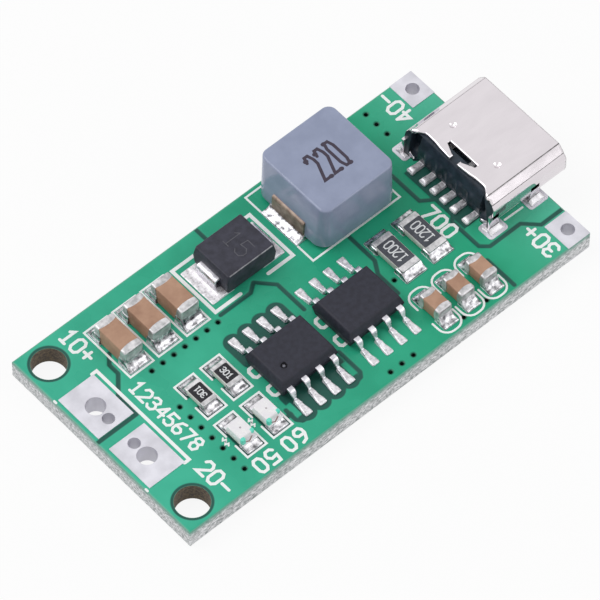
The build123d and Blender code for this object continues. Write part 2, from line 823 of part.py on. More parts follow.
# Indicator lights: a small base with wrapped ends under a clear moulded lens
for number, (x, y) in enumerate(light_spots, start=1):
    with BuildPart() as light_base_block:
        slab(x, y, seat + cap_wall, chip_width, chip_length - 2 * cap_wall, light_base - 2 * cap_wall)
    keep(light_base_block, f"indicator_light_{number}_base")
    with BuildPart() as light_ends:
        light_end = (chip_length - light_lens_length) / 2
        for side in (-1, 1):
            slab(x, y + side * (chip_length - light_end) / 2, seat, chip_width, light_end, light_base)
        add(light_base_block.part, mode=Mode.SUBTRACT)
    keep(light_ends, f"indicator_light_{number}_ends")
    with BuildPart() as light_lens:
        lens_bottom = seat + light_base - cap_wall
        for level, draft in ((0, 0), (light_lens_height, light_lens_draft)):
            with BuildSketch(Plane.XY.offset(lens_bottom + level)):
                with Locations((x, y)):
                    Rectangle(chip_width - draft, light_lens_length - 2 * draft)
        loft()
    keep(light_lens, f"indicator_light_{number}_lens")

# Moulded circuits: the charge controller and the power switch, with gull-wing leads
lead_level = seat + circuit_standoff + circuit_height / 2
lead_knee = (lead_span / 2 - lead_foot + circuit_width / 2) / 2
for (x, y), label in zip(circuit_spots, ("charge_controller", "power_switch")):
    with BuildPart() as leads:
        for side in (-1, 1):
            for k in range(4):
                lead_x = x + (k - 1.5) * lead_pitch - lead_width / 2
                with BuildSketch(Plane(origin=(lead_x, y, 0), x_dir=(0, side, 0), z_dir=(side, 0, 0))):
                    with BuildLine():
                        Polyline(
                            (circuit_width / 2 - lead_root, lead_level + lead_thickness / 2),
                            (lead_knee + lead_thickness / 2, lead_level + lead_thickness / 2),
                            (lead_span / 2 - lead_foot + lead_thickness / 2, seat + lead_thickness),
                            (lead_span / 2, seat + lead_thickness),
                            (lead_span / 2, seat),
                            (lead_span / 2 - lead_foot - lead_thickness / 2, seat),
                            (lead_knee - lead_thickness / 2, lead_level - lead_thickness / 2),
                            (circuit_width / 2 - lead_root, lead_level - lead_thickness / 2),
                            close=True,
                        )
                    make_face()
                extrude(amount=side * lead_width)
    keep(leads, f"{label}_leads")
    with BuildPart() as moulding:
        moulded_body(
            x,
            y,
            seat + circuit_standoff,
            circuit_height,
            circuit_length,
            circuit_width,
            circuit_end_draft,
            circuit_side_draft,
        )
        dimple_x = x - circuit_length / 2 + circuit_end_draft + circuit_dimple_margin
        dimple_y = y - circuit_width / 2 + circuit_side_draft + circuit_dimple_margin
        dimple_z = seat + circuit_standoff + circuit_height - circuit_dimple_depth
        if label == "charge_controller":
            with Locations((dimple_x, dimple_y, dimple_z)):
                Cylinder(circuit_dimple / 2, circuit_dimple_depth, align=LOW, mode=Mode.SUBTRACT)
        add(leads.part, mode=Mode.SUBTRACT)
    keep(moulding, f"{label}_body")

# Solder at the ends of the chip parts
with BuildPart() as chip_solder:
    for x, y in capacitor_spots:
        wedge_pair(x, y, capacitor_length, capacitor_land_span, capacitor_width, capacitor_height / 2)
    for x, y in input_spots:
        wedge_pair(x, y, input_length, input_land_span, input_width, input_height / 2)
    for x, y in sense_spots:
        wedge_pair(x, y, sense_length, sense_land_span, sense_width, sense_height * 0.8)
    for x, y in resistor_spots:
        wedge_pair(x, y, chip_length, chip_land_span, chip_width, chip_height * 0.8)
    for x, y in light_spots:
        wedge_pair(x, y, chip_length, chip_land_span, chip_width, light_base * 0.8)
keep(chip_solder, "chip_solder")

# Solder outside the straps of the inductor and the diode
with BuildPart() as power_solder:
    for side in (-1, 1):
        face = core_x + side * (inductor_length / 2 - inductor_strap_set_in + inductor_strap)
        run = abs(inductor_x + side * inductor_outline_length / 2 - face)
        solder_wedge(face, core_y, (side, 0), inductor_strap_width, run, inductor_strap_rise / 3)
        face = diode_body_x + side * diode_span / 2
        run = abs(diode_x + side * diode_land_span / 2 - face)
        solder_wedge(face, rear_row, (side, 0), diode_strap_width, run, diode_height / 6)
keep(power_solder, "power_solder")

# Solder at the tips of the leads
with BuildPart() as lead_solder:
    for x, y in circuit_spots:
        for side in (-1, 1):
            for k in range(4):
                tip = (x + (k - 1.5) * lead_pitch, y + side * lead_span / 2)
                solder_wedge(*tip, (0, side), lead_width, lead_toe, lead_thickness)
keep(lead_solder, "lead_solder")

# Solder in the slots of the socket's legs, with a mound round each leg
with BuildPart() as socket_solder:
    with BuildSketch():
        with Locations(*leg_spots):
            SlotOverall(leg_slot_length, leg_slot_width)
    extrude(amount=seat)
    for x, y in leg_spots:
        solder_mound(x, y, leg_land_length - 2 * leg_land_corner, leg_land_width - 2 * leg_land_corner)
    add(socket_shell.part, mode=Mode.SUBTRACT)
keep(socket_solder, "socket_solder")
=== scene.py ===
"""Dresses the lithium battery charger module: camera, board, lands, parts, socket, solder, floor and light.

Every shape is worked out in millimetres in the part's own frame and becomes metres when its mesh is made.
"""

import math
import bmesh
import bpy
import numpy as np
from mathutils import Matrix, Vector


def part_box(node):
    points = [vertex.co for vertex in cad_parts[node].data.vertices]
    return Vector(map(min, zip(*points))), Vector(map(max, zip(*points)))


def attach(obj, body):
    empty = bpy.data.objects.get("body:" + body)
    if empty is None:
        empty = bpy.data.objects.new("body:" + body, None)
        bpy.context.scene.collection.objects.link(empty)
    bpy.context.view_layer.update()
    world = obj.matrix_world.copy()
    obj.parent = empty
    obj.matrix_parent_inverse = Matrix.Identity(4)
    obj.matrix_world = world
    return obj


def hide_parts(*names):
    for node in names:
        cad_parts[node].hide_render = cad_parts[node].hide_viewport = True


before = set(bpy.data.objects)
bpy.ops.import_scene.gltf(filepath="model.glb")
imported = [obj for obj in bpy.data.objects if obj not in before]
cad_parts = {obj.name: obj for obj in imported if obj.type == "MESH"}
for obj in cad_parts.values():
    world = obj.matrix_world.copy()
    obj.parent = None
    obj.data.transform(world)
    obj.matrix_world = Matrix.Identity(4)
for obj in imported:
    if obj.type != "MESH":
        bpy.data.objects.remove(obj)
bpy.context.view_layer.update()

# Camera: a long lens that looks down over the battery end's front corner,
# aimed at the middle of the module, with the picture turned by a fraction of a degree.
camera_aim = Vector((-0.00123117, 0.00000623, 0.00153746))
camera_distance = 0.461945
camera_azimuth = math.radians(-42.321)
camera_elevation = math.radians(56.162)
camera_roll = math.radians(0.6215)
camera_lens = 412.769
camera_sensor = 36.0
flat = math.cos(camera_elevation)
away = Vector((math.sin(camera_azimuth) * flat, -math.cos(camera_azimuth) * flat, math.sin(camera_elevation)))
level_right = Vector((math.cos(camera_azimuth), math.sin(camera_azimuth), 0.0))
level_up = away.cross(level_right)
camera_right = level_right * math.cos(camera_roll) + level_up * math.sin(camera_roll)
camera_up = away.cross(camera_right)
camera_data = bpy.data.cameras.new("camera")
camera_data.lens = camera_lens
camera_data.sensor_width = camera_sensor
camera_data.clip_start = 0.01
camera = bpy.data.objects.new("camera", camera_data)
camera_turn = Matrix((camera_right, camera_up, away)).transposed().to_4x4()
camera.matrix_world = Matrix.Translation(camera_aim + away * camera_distance) @ camera_turn
bpy.context.scene.collection.objects.link(camera)
bpy.context.scene.camera = camera

# Circuit board: one glass-fibre laminate with copper under green solder mask. The mask dips into the
# grooves between the copper fields, stops short of the sawn edges, and opens at the drilled holes.
mm = 0.001


def corners(node):
    """Lowest and highest corner of a CAD node, in millimetres."""
    low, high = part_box(node)
    return np.array(low) / mm, np.array(high) / mm


def measured(node):
    """Middle x and y, length, width, height, lowest and highest z of a CAD node, in millimetres."""
    low, high = corners(node)
    return (*((low + high) / 2)[:2], *(high - low), low[2], high[2])


def box_middle(box):
    """Middle in plan of a box given as a row (low x y z, high x y z)."""
    return (box[:2] + box[3:5]) / 2


def islands(node):
    """Boxes, in millimetres, of the separate solids in a CAD node, as rows (low x y z, high x y z).

    Corners in one place count as one. Each triangle hands its smallest number to its corners until none
    changes.
    """
    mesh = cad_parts[node].data
    mesh.calc_loop_triangles()
    points = np.zeros(len(mesh.vertices) * 3)
    mesh.vertices.foreach_get("co", points)
    triangles = np.zeros(len(mesh.loop_triangles) * 3, int)
    mesh.loop_triangles.foreach_get("vertices", triangles)
    places, number = np.unique(np.round(points.reshape(-1, 3) / mm, 4), axis=0, return_inverse=True)
    triangles = number.reshape(-1)[triangles].reshape(-1, 3)
    label = np.arange(len(places))
    while True:
        lowest = label[triangles].min(axis=1)
        new = label.copy()
        np.minimum.at(new, triangles.reshape(-1), np.repeat(lowest, 3))
        if (new == label).all():
            break
        label = new
    return np.array([np.r_[places[label == k].min(0), places[label == k].max(0)] for k in np.unique(label)])


(left, front, underside), (right, rear, deck) = corners("circuit_board")


def at(x, y):
    """A place on the board, measured from its front left corner."""
    return np.array((left + x, front + y))


def grid_quads(rows, columns, wrap=False):
    """Quads between neighbouring rows and columns; wrap joins the last column to the first."""
    here = np.arange(columns if wrap else columns - 1)
    step = np.arange(rows - 1)[:, None] * columns
    first, second = step + here, step + (here + 1) % columns
    return np.stack([first, second, second + columns, first + columns], -1).reshape(-1, 4)


def compacted(count, *blocks):
    """Numbers of the points, out of a count, that the blocks of faces use, and the blocks renumbered."""
    used = np.unique(np.concatenate([block.reshape(-1) for block in blocks]))
    renumber = np.zeros(count, int)
    renumber[used] = np.arange(len(used))
    return used, [renumber[block] for block in blocks]


def new_piece(name, shape, finish, replaces=(), sharp=38):
    """Makes a mesh in metres, smooth but where faces meet past the sharp angle, and sets it on the board."""
    points, faces = shape
    mesh = bpy.data.meshes.new(name)
    mesh.from_pydata(points * mm, [], [face for block in faces for face in block.tolist()])
    mesh.materials.append(finish)
    mesh.shade_smooth()
    mesh.set_sharp_from_angle(angle=math.radians(sharp))
    piece = bpy.data.objects.new(name, mesh)
    bpy.context.scene.collection.objects.link(piece)
    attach(piece, "root")
    if replaces:
        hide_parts(*replaces)
    return piece


def colour(red, green, blue):
    """The linear colour of an sRGB one written 0 to 255."""
    share = np.array((red, green, blue)) / 255
    linear = np.where(share <= 0.04045, share / 12.92, ((share + 0.055) / 1.055) ** 2.4)
    return (*linear, 1.0)


def add(finish, kind, inputs=(), **settings):
    """Adds one node to a finish; each input is a value, or the output that feeds it."""
    new = finish.node_tree.nodes.new("ShaderNode" + kind)
    for key, value in settings.items():
        setattr(new, key, value)
    for key, value in dict(inputs).items():
        if isinstance(value, bpy.types.NodeSocket):
            finish.node_tree.links.new(value, new.inputs[key])
        else:
            new.inputs[key].default_value = value
    return new


def blend(finish, share, first, second):
    """A colour between two, by the share of the second."""
    return add(finish, "Mix", {0: share, 6: first, 7: second}, data_type="RGBA").outputs[2]


def ramp(finish, value, start, end, low=0.0, high=1.0):
    """Takes a value from start..end to low..high and holds it there."""
    inputs = {"Value": value, "From Min": start, "From Max": end, "To Min": low, "To Max": high}
    return add(finish, "MapRange", inputs).outputs["Result"]


def along_axis(finish, axis):
    """How far a point lies along one axis of the part's own frame, in metres."""
    place = add(finish, "TexCoord").outputs["Object"]
    return add(finish, "SeparateXYZ", {"Vector": place}).outputs[axis]


def wander(finish, grain, detail=3.0, stretch=(1, 1, 1), roughness=0.55):
    """Noise on the object's own coordinates, with patches about `grain` millimetres wide."""
    place = add(finish, "TexCoord").outputs["Object"]
    spread = add(finish, "Mapping", {"Vector": place, "Scale": [s / (grain * mm) for s in stretch]})
    inputs = {"Vector": spread.outputs["Vector"], "Scale": 1.0, "Detail": detail, "Roughness": roughness}
    return add(finish, "TexNoise", inputs).outputs["Fac"]


def new_finish(name):
    """A plain material, and its shader."""
    finish = bpy.data.materials.new(name)
    finish.use_nodes = True
    return finish, finish.node_tree.nodes["Principled BSDF"]


def roughen(finish, shader, grain, depth, stretch=(1, 1, 1)):
    """Gives a finish a bump of that grain and depth, in millimetres."""
    height = wander(finish, grain, stretch=stretch)
    relief = add(finish, "Bump", {"Height": height, "Distance": depth * mm, "Strength": 1.0})
    finish.node_tree.links.new(relief.outputs["Normal"], shader.inputs["Normal"])


def coat(
    name, dark, light, grain, roughness, metallic=0.0, bump=0.0, bump_grain=None, stretch=(1, 1, 1), **sockets
):
    """A finish whose colour and roughness wander together between two ends, over a bump of its own grain.

    The colours are sRGB ones written 0 to 255, and the bump is the height of its grain in millimetres.
    """
    finish, shader = new_finish(name)
    tone = ramp(finish, wander(finish, grain, stretch=stretch), 0.35, 0.65)
    links = finish.node_tree.links
    links.new(blend(finish, tone, colour(*dark), colour(*light)), shader.inputs["Base Color"])
    links.new(ramp(finish, tone, 0, 1, *roughness), shader.inputs["Roughness"])
    shader.inputs["Metallic"].default_value = metallic
    for socket, value in sockets.items():
        shader.inputs[socket.replace("_", " ")].default_value = value
    if bump:
        roughen(finish, shader, bump_grain or grain, bump, stretch)
    return finish


def distance_to_line(x, y, path):
    """Distance from each (x, y) to the nearest run of a path given from the board's corner."""
    nearest = np.full(x.shape, 1e3)
    ends = np.array([at(*spot) for spot in path])
    for start, end in zip(ends, ends[1:]):
        run = end - start
        share = np.clip(((x - start[0]) * run[0] + (y - start[1]) * run[1]) / max(run @ run, 1e-9), 0, 1)
        nearest = np.minimum(nearest, np.hypot(x - start[0] - share * run[0], y - start[1] - share * run[1]))
    return nearest


def distance_to_box(x, y, low, high):
    """Distance from each (x, y) to a box, less than zero inside it."""
    over_x = np.abs(x - (low[0] + high[0]) / 2) - (high[0] - low[0]) / 2
    over_y = np.abs(y - (low[1] + high[1]) / 2) - (high[1] - low[1]) / 2
    return np.hypot(np.maximum(over_x, 0), np.maximum(over_y, 0)) + np.minimum(np.maximum(over_x, over_y), 0)


def drilled_sheet(low, high, cell, holes):
    """A level grid with holes: points in plan, quads, and the number of the hole at each point's rim, or -1.

    A hole is (x, y, half run along x, radius). Cells whose middle lies in a hole go, and the corners that
    they leave on its rim slide straight towards or away from its axis until they are one radius from it.
    """
    along = np.linspace(low[0], high[0], round((high[0] - low[0]) / cell) + 1)
    across = np.linspace(low[1], high[1], round((high[1] - low[1]) / cell) + 1)
    plan = np.stack(np.meshgrid(along, across), -1).reshape(-1, 2)
    quads = grid_quads(len(across), len(along))
    middle = plan[quads].mean(axis=1)
    rim = np.full(len(plan), -1)
    kept = np.full(len(quads), True)
    for number, (x, y, half_run, radius) in enumerate(holes):
        axis = np.clip(middle[:, 0], x - half_run, x + half_run)
        inside = np.hypot(middle[:, 0] - axis, middle[:, 1] - y) < radius
        kept &= ~inside
        rim[np.unique(quads[inside])] = number
    used, (quads,) = compacted(len(plan), quads[kept])
    plan, rim = plan[used], rim[used]
    for number, (x, y, half_run, radius) in enumerate(holes):
        spots = rim == number
        axis = np.stack([np.clip(plan[spots, 0], x - half_run, x + half_run), np.full(spots.sum(), y)], -1)
        arm = plan[spots] - axis
        plan[spots] = axis + arm * radius / np.linalg.norm(arm, axis=1, keepdims=True)
    return plan, quads, rim


def open_edges(quads):
    """Edges that only one quad uses, each in that quad's own direction."""
    edges = np.stack([quads, np.roll(quads, -1, axis=1)], -1).reshape(-1, 2)
    _, first, count = np.unique(np.sort(edges, axis=1), axis=0, return_index=True, return_counts=True)
    return edges[first[count == 1]]


board_cell = 0.1
groove_width = 0.3
groove_depth = 0.035
edge_break = 0.05
mounting_radius = 1.25
mounting_inset = 1.75
plating = 0.05
via_radius = 0.15
leg_slot_run = 0.3
leg_slot_radius = 0.35
land_low, land_high = corners("battery_land_positive")
battery_hole_x = left + 1.85
battery_holes = [(land_low[1] + 0.775, 0.45), (land_low[1] + 2.075, 0.72)]
input_hole_x = right - 0.95
input_hole_y = rear - 1.2
input_hole_radius = 0.5
leg_lands = islands("socket_leg_lands")
through_holes = [
    *((left + mounting_inset, side * (rear - mounting_inset), 0, mounting_radius) for side in (-1, 1)),
    *((battery_hole_x, side * y, 0, radius + plating) for side in (-1, 1) for y, radius in battery_holes),
    *((input_hole_x, side * input_hole_y, 0, input_hole_radius + plating) for side in (-1, 1)),
    *((*box_middle(box), leg_slot_run, leg_slot_radius) for box in leg_lands),
]
vias = np.array(
    [
        *(at(6.52 + 0.98 * k, 11.275) for k in range(7)),
        *(at(6.03, 1.4 + 1.08 * k) for k in range(7)),
        *(at(31.25, 17.35 - 1.08 * k) for k in range(3)),
        *(at(18.37 + 1.03 * k, 0.65) for k in range(3)),
        *(at(24.985 + 2.08 * k, 0.65) for k in range(2)),
        at(23.52, 5.95),
    ]
)
grooves = [
    [(5.3, 14.2), (4.7, 13.5), (4.7, 12.6), (3.5, 11.2), (3.5, 9.35), (0.0, 9.35)],
    [(12.9, 11.58), (15.6, 11.58), (16.3, 12.1), (17.4, 10.9), (17.4, 8.2)],
    [(16.25, 16.7), (16.25, 18.0)],
    [(23.6, 10.6), (23.6, 8.0), (23.0, 7.0), (23.0, 5.0)],
    [(29.15, 12.4), (29.15, 9.6), (30.0, 9.0)],
    [(30.0, 7.2), (29.65, 6.9), (29.65, 4.2), (30.2, 3.7), (33.0, 3.7), (34.0, 2.7), (36.0, 2.7)],
    [(29.3, 0.3), (29.3, 3.0)],
    [(10.9, 2.55), (11.9, 2.55)],
    [(16.86, 4.1), (16.86, 2.0), (16.6, 1.65), (15.9, 1.55)],
    [(11.12, 3.0), (11.12, 2.0), (11.4, 1.65), (12.1, 1.55)],
]
copper_islands = [(at(16.24, 2.05), at(16.66, 3.3)), (at(11.32, 2.05), at(11.74, 3.3))]
lands = islands("component_lands")
scallop_radius = 0.72
land_clearance = 0.17
light_clearance = np.array((0.74, 1.58))


def lands_at(node, run, margin):
    """The component lands in line with a node along an axis, 0 or 1, up to a margin past its ends."""
    low, high = corners(node)
    middle = (lands[:, :2] + lands[:, 3:5]) / 2
    past_end = np.abs(middle[:, run] - (low[run] + high[run]) / 2) - (high[run] - low[run]) / 2
    in_line = (low[1 - run] < middle[:, 1 - run]) & (middle[:, 1 - run] < high[1 - run])
    return lands[in_line & (past_end < margin)]


# The first dark box is painted shadow round the socket's contact feet.
dark_boxes = [(at(29.9, 5.9), at(31.7, 12.0))]
for name in ("indicator_light_1", "indicator_light_2", "light_resistor_1", "light_resistor_2"):
    if name.startswith("indicator_light"):
        middle = np.array(measured(f"{name}_ends")[:2])
        dark_boxes.append((middle - light_clearance, middle + light_clearance))
    for box in lands_at(f"{name}_ends", 1, 0.8):
        dark_boxes.append((box[:2] - land_clearance, box[3:5] + land_clearance))


def groove_and_shade_distance(x, y):
    """Distance to the nearest bare strip between copper fields, or to a dark zone beside the parts, less than
    zero inside it.
    """
    nearest = np.full(x.shape, 1e3)
    for path in grooves:
        nearest = np.minimum(nearest, distance_to_line(x, y, path) - groove_width / 2)
    for low, high in dark_boxes:
        nearest = np.minimum(nearest, distance_to_box(x, y, low, high))
    controller_y = measured("charge_controller_leads")[1]
    for box in lands_at("charge_controller_leads", 1, 1.0):
        land_x, land_y = box_middle(box)
        shift = (0.32, 0.6) if land_y < controller_y else (-0.6, -0.32)
        reach_y = np.clip(y, box[1] + shift[0], box[4] + shift[1])
        nearest = np.minimum(nearest, np.hypot(x - land_x, y - reach_y) - scallop_radius)
    for low, high in copper_islands:
        nearest = np.maximum(nearest, -distance_to_box(x, y, low, high))
    for x_hole, y_hole, _, radius in through_holes[:2]:
        nearest = np.minimum(nearest, np.hypot(x - x_hole, y - y_hole) - radius - 0.2)
    return nearest


board_holes = through_holes + [(x, y, 0, via_radius) for x, y in vias]
plan, board_quads, hole_number = drilled_sheet((left, front), (right, rear), board_cell, board_holes)
x, y = plan.T
groove_and_shade = groove_and_shade_distance(x, y)
border = np.min([x - left, right - x, y - front, rear - y], axis=0)
hole_margin = np.min([np.hypot(x - h[0], y - h[1]) - h[3] for h in through_holes[:2]], axis=0)
via_distance = np.min([np.hypot(x - spot[0], y - spot[1]) for spot in vias], axis=0)
dip = groove_depth * np.clip(0.5 - groove_and_shade / 0.12, 0, 1)
fall = edge_break * (border < board_cell / 2) + plating * (via_distance < via_radius + 0.02)
top_points = np.column_stack([x, y, deck - np.maximum(dip, fall)])
edge_pairs = open_edges(board_quads)
start, end = edge_pairs.T
wall = np.stack([start, start + len(x), end + len(x), end], -1)
used, board_faces = compacted(2 * len(x), board_quads, wall)
low_points = np.column_stack([x, y, np.full(len(x), underside)])
board_points = np.concatenate([top_points, low_points])[used]

solder_mask, mask_shader = new_finish("solder_mask")
shown = {"groove_and_shade": groove_and_shade, "border": np.minimum(border, hole_margin + 0.06), "via": via_distance}
value = {name: add(solder_mask, "Attribute", attribute_name=name).outputs["Fac"] for name in shown}
cloud = ramp(solder_mask, wander(solder_mask, 4.0), 0.35, 0.65)
# Painted sheen: the mask's colour runs from pale at the left end to deeper green towards the right, as a
# broad reflection falls across it.
sheen_gradient = ramp(solder_mask, along_axis(solder_mask, "X"), left * mm, right * mm)
field = blend(solder_mask, sheen_gradient, colour(60, 178, 147), colour(12, 150, 106))
paler = blend(solder_mask, sheen_gradient, colour(72, 192, 160), colour(24, 162, 118))
field = blend(solder_mask, cloud, field, paler)
# Painted sheen: the mask pales again over the last 7 mm at the socket end.
right_end_sheen = ramp(solder_mask, along_axis(solder_mask, "X"), (right - 7.0) * mm, right * mm, 0.0, 0.8)
for share, tint in (
    (right_end_sheen, (96, 202, 172)),
    # Darker in the grooves and dark zones: bare strips, and painted shadow round the socket's contacts.
    (ramp(solder_mask, value["groove_and_shade"], -0.03, 0.05, 1.0, 0.0), (40, 92, 82)),
    (ramp(solder_mask, value["via"], 0.16, 0.28, 0.9, 0.0), (12, 62, 48)),
    (ramp(solder_mask, value["border"], 0.04, 0.1, 1.0, 0.0), (112, 172, 150)),
):
    field = blend(solder_mask, share, field, colour(*tint))
solder_mask.node_tree.links.new(field, mask_shader.inputs["Base Color"])
solder_mask.node_tree.links.new(ramp(solder_mask, cloud, 0, 1, 0.24, 0.34), mask_shader.inputs["Roughness"])
roughen(solder_mask, mask_shader, 0.6, 0.004)
mask_shader.inputs["Specular IOR Level"].default_value = 0.22

sawn_edge = coat(
    "sawn_laminate", (156, 162, 162), (250, 250, 252), 0.24, (0.6, 0.85), bump=0.035, bump_grain=0.14,
    stretch=(1, 1, 1.6),
)
edge_shader = sawn_edge.node_tree.nodes["Principled BSDF"]
edge_colour = edge_shader.inputs["Base Color"].links[0].from_socket
tint = ramp(sawn_edge, along_axis(sawn_edge, "Z"), (deck - 0.55) * mm, (deck - 0.1) * mm, 0.0, 0.8)
edge_colour = blend(sawn_edge, tint, edge_colour, colour(92, 156, 138))
sawn_edge.node_tree.links.new(edge_colour, edge_shader.inputs["Base Color"])
# Hole walls: brown laminate, darkened as painted shade inside the holes.
drilled_wall_and_shade = coat("drilled_laminate_and_shade", (74, 64, 54), (140, 126, 106), 0.2, (0.6, 0.8), bump=0.02)
via_wall = coat("via_wall", (8, 34, 28), (22, 62, 50), 0.1, (0.4, 0.6), bump=0.01)

board_mesh = (board_points, board_faces)
board = new_piece("board", board_mesh, solder_mask, ["circuit_board"], sharp=30)
for finish in (sawn_edge, drilled_wall_and_shade, via_wall):
    board.data.materials.append(finish)
for attribute_name, values in shown.items():
    attribute = board.data.attributes.new(attribute_name, "FLOAT", "POINT")
    whole = np.concatenate([values, values])[used]
    attribute.data.foreach_set("value", whole.astype(np.float32))
wall_hole = hole_number[edge_pairs[:, 0]]
wall_finish = np.where(wall_hole < 0, 1, np.where(wall_hole < len(through_holes), 2, 3))
finish_number = np.concatenate([np.zeros(len(board_quads), int), wall_finish])
board.data.polygons.foreach_set("material_index", finish_number)

shape = bmesh.new()
shape.from_mesh(board.data)
rims = [edge for edge in shape.edges if len(edge.link_faces) == 1]
filled = bmesh.ops.triangle_fill(shape, edges=rims, use_beauty=True)
for face in filled["geom"]:
    if isinstance(face, bmesh.types.BMFace):
        face.normal_update()
        if face.normal.z > 0:
            face.normal_flip()
        face.material_index = 0
        face.smooth = False
shape.to_mesh(board.data)
shape.free()

# Legend: white ink screened over the mask in thin lines, a little soft at its edges.
# Terminal numbers, polarity signs and pin numbers stand where a maker's words would.
ink_height = 0.02
ink_foot = 0.04


def joined(shapes):
    """Puts shapes, each (points, list of face arrays), into one."""
    points, faces, count = [], [], 0
    for shape_points, shape_faces in shapes:
        points.append(shape_points)
        faces += [block + count for block in shape_faces]
        count += len(shape_points)
    return np.concatenate(points), faces


def ink_line(path, width, lift=0.0, level=None):
    """A line of ink along a path: four edges swept along mitred corners, with half-round ends.

    The half width at an end is half the line times the root of one less the square of the share left to run.
    """
    path = np.asarray(path, float)
    base = deck if level is None else level
    closed = np.allclose(path[0], path[-1])
    if closed:
        path = path[:-1]
        spread = np.ones(len(path))
    else:
        share = np.array((1.0, 0.8, 0.5, 0.0))
        first = (path[0] - path[1]) / np.linalg.norm(path[0] - path[1])
        last = (path[-1] - path[-2]) / np.linalg.norm(path[-1] - path[-2])
        head = path[0] + np.outer(share, first) * width / 2
        tail = path[-1] + np.outer(share[::-1], last) * width / 2
        path = np.concatenate([head, path[1:-1], tail])
        taper = np.sqrt(1 - share**2)
        spread = np.concatenate([taper, np.ones(len(path) - 8), taper[::-1]])
    into = path - np.roll(path, 1, axis=0)
    out = np.roll(path, -1, axis=0) - path
    if not closed:
        into[0], out[-1] = out[0], into[-1]
    into /= np.linalg.norm(into, axis=1, keepdims=True)
    out /= np.linalg.norm(out, axis=1, keepdims=True)
    mitre = into + out
    mitre /= np.linalg.norm(mitre, axis=1, keepdims=True)
    reach = spread * width / 2 / np.clip((mitre * out).sum(axis=1), 0.4, 1)
    side = np.stack([-mitre[:, 1], mitre[:, 0]], -1) * reach[:, None]
    heights = np.array((base - ink_foot, base + ink_height + lift, base + ink_height + lift, base - ink_foot))
    signs = np.array((1.0, 0.94, -0.94, -1.0))
    plan_points = path[:, None, :] + side[:, None, :] * signs[:, None]
    points = np.concatenate([plan_points, np.broadcast_to(heights[None, :, None], (len(path), 4, 1))], -1)
    if closed:
        points = np.concatenate([points, points[:1]])
    return points.reshape(-1, 3), [grid_quads(len(points), 4, wrap=True)]


glyphs = {
    "0": [
        [(0.15, 0), (0.45, 0), (0.6, 0.2), (0.6, 0.8), (0.45, 1), (0.15, 1), (0, 0.8), (0, 0.2), (0.15, 0)],
    ],
    "1": [[(0.1, 0.8), (0.3, 1), (0.3, 0)], [(0.1, 0), (0.5, 0)]],
    "2": [[(0, 0.8), (0.15, 1), (0.45, 1), (0.6, 0.8), (0.6, 0.6), (0, 0), (0.6, 0)]],
    "3": [[(0, 0.85), (0.15, 1), (0.45, 1), (0.6, 0.8), (0.45, 0.55), (0.2, 0.55)],
          [(0.45, 0.55), (0.6, 0.35), (0.6, 0.2), (0.45, 0), (0.15, 0), (0, 0.15)]],
    "4": [[(0.6, 0.35), (0, 0.35), (0.45, 1)], [(0.45, 1), (0.45, 0)]],
    "5": [
        [(0.6, 1), (0.05, 1), (0, 0.55), (0.4, 0.6), (0.6, 0.4), (0.6, 0.2), (0.45, 0), (0.15, 0), (0, 0.15)],
    ],
    "6": [[(0.5, 1), (0.2, 0.9), (0, 0.5), (0, 0.2), (0.15, 0), (0.45, 0), (0.6, 0.2)],
          [(0.6, 0.2), (0.6, 0.35), (0.45, 0.5), (0, 0.5)]],
    "7": [[(0, 1), (0.6, 1), (0.2, 0)]],
    "8": [[(0.15, 0.55), (0, 0.75), (0.15, 1), (0.45, 1), (0.6, 0.75), (0.45, 0.55), (0.15, 0.55)],
          [(0.45, 0.55), (0.6, 0.3), (0.45, 0), (0.15, 0), (0, 0.3), (0.15, 0.55), (0.45, 0.55)]],
    "+": [[(0, 0.5), (0.6, 0.5)], [(0.3, 0.2), (0.3, 0.8)]],
    "-": [[(0, 0.5), (0.6, 0.5)]],
}


def written(text, start, reading, height, line, pitch=0.85, narrow=1.0, level=None):
    """Strokes of plain figures that start at a place and read towards (reading x, reading y)."""
    along = np.array(reading, float)
    upward = np.array((-along[1], along[0]))
    shapes = []
    for number, mark in enumerate(text):
        for order, stroke in enumerate(glyphs[mark]):
            spots = np.array(stroke) * height
            spots[:, 0] = spots[:, 0] * narrow + number * pitch * height
            path = start + spots[:, :1] * along + spots[:, 1:] * upward
            shapes.append(ink_line(path, line, lift=0.001 * (order + 1), level=level))
    return shapes


thin_line, heavy_line = 0.16, 0.28
ink = []


def printed(spots, x, y, width=thin_line):
    """Prints a line through spots given from a place."""
    ink.append(ink_line(np.array(spots) + (x, y), width))


for number in range(1, 4):
    x, y = measured(f"output_capacitor_{number}_ends")[:2]
    a, b = 1.02, 2.37
    printed([(-a, -b), (a, -b), (a, b), (-a, b), (-a, -b)], x, y)
for name in ("light_resistor_1", "light_resistor_2", "indicator_light_1", "indicator_light_2"):
    x, y = measured(f"{name}_ends")[:2]
    a, b, gap = 0.84, 1.68, 0.48
    printed([(-a, -gap), (-a, -b), (a, -b), (a, b), (-a, b), (-a, gap)], x, y)
a, b, gap = (7.25 - heavy_line) / 2, (4.7 - heavy_line) / 2, 1.25
printed([(-gap, -b), (-a, -b), (-a, b), (a, b), (a, -b), (gap, -b)], *at(16.275, 14.175), heavy_line)
a, b, gap = (8.05 - thin_line) / 2, (7.05 - thin_line) / 2, 1.9
for side in (-1, 1):
    printed([(-a, side * gap), (-a, side * b), (a, side * b), (a, side * gap)], *at(24.425, 14.175))
turn = np.linspace(0, np.pi / 2, 6)
for number in range(1, 4):
    x, y = measured(f"input_capacitor_{number}_ends")[:2]
    a, b, corner, gap = 0.905, 2.08, 0.75, 0.75
    half = np.column_stack([a - corner + corner * np.cos(turn), b - corner + corner * np.sin(turn)])
    path = np.concatenate([[(a, gap)], half, (half * (-1, 1))[::-1], [(-a, gap)]])
    for side in (-1, 1):
        printed(path * (1, side), x, y)
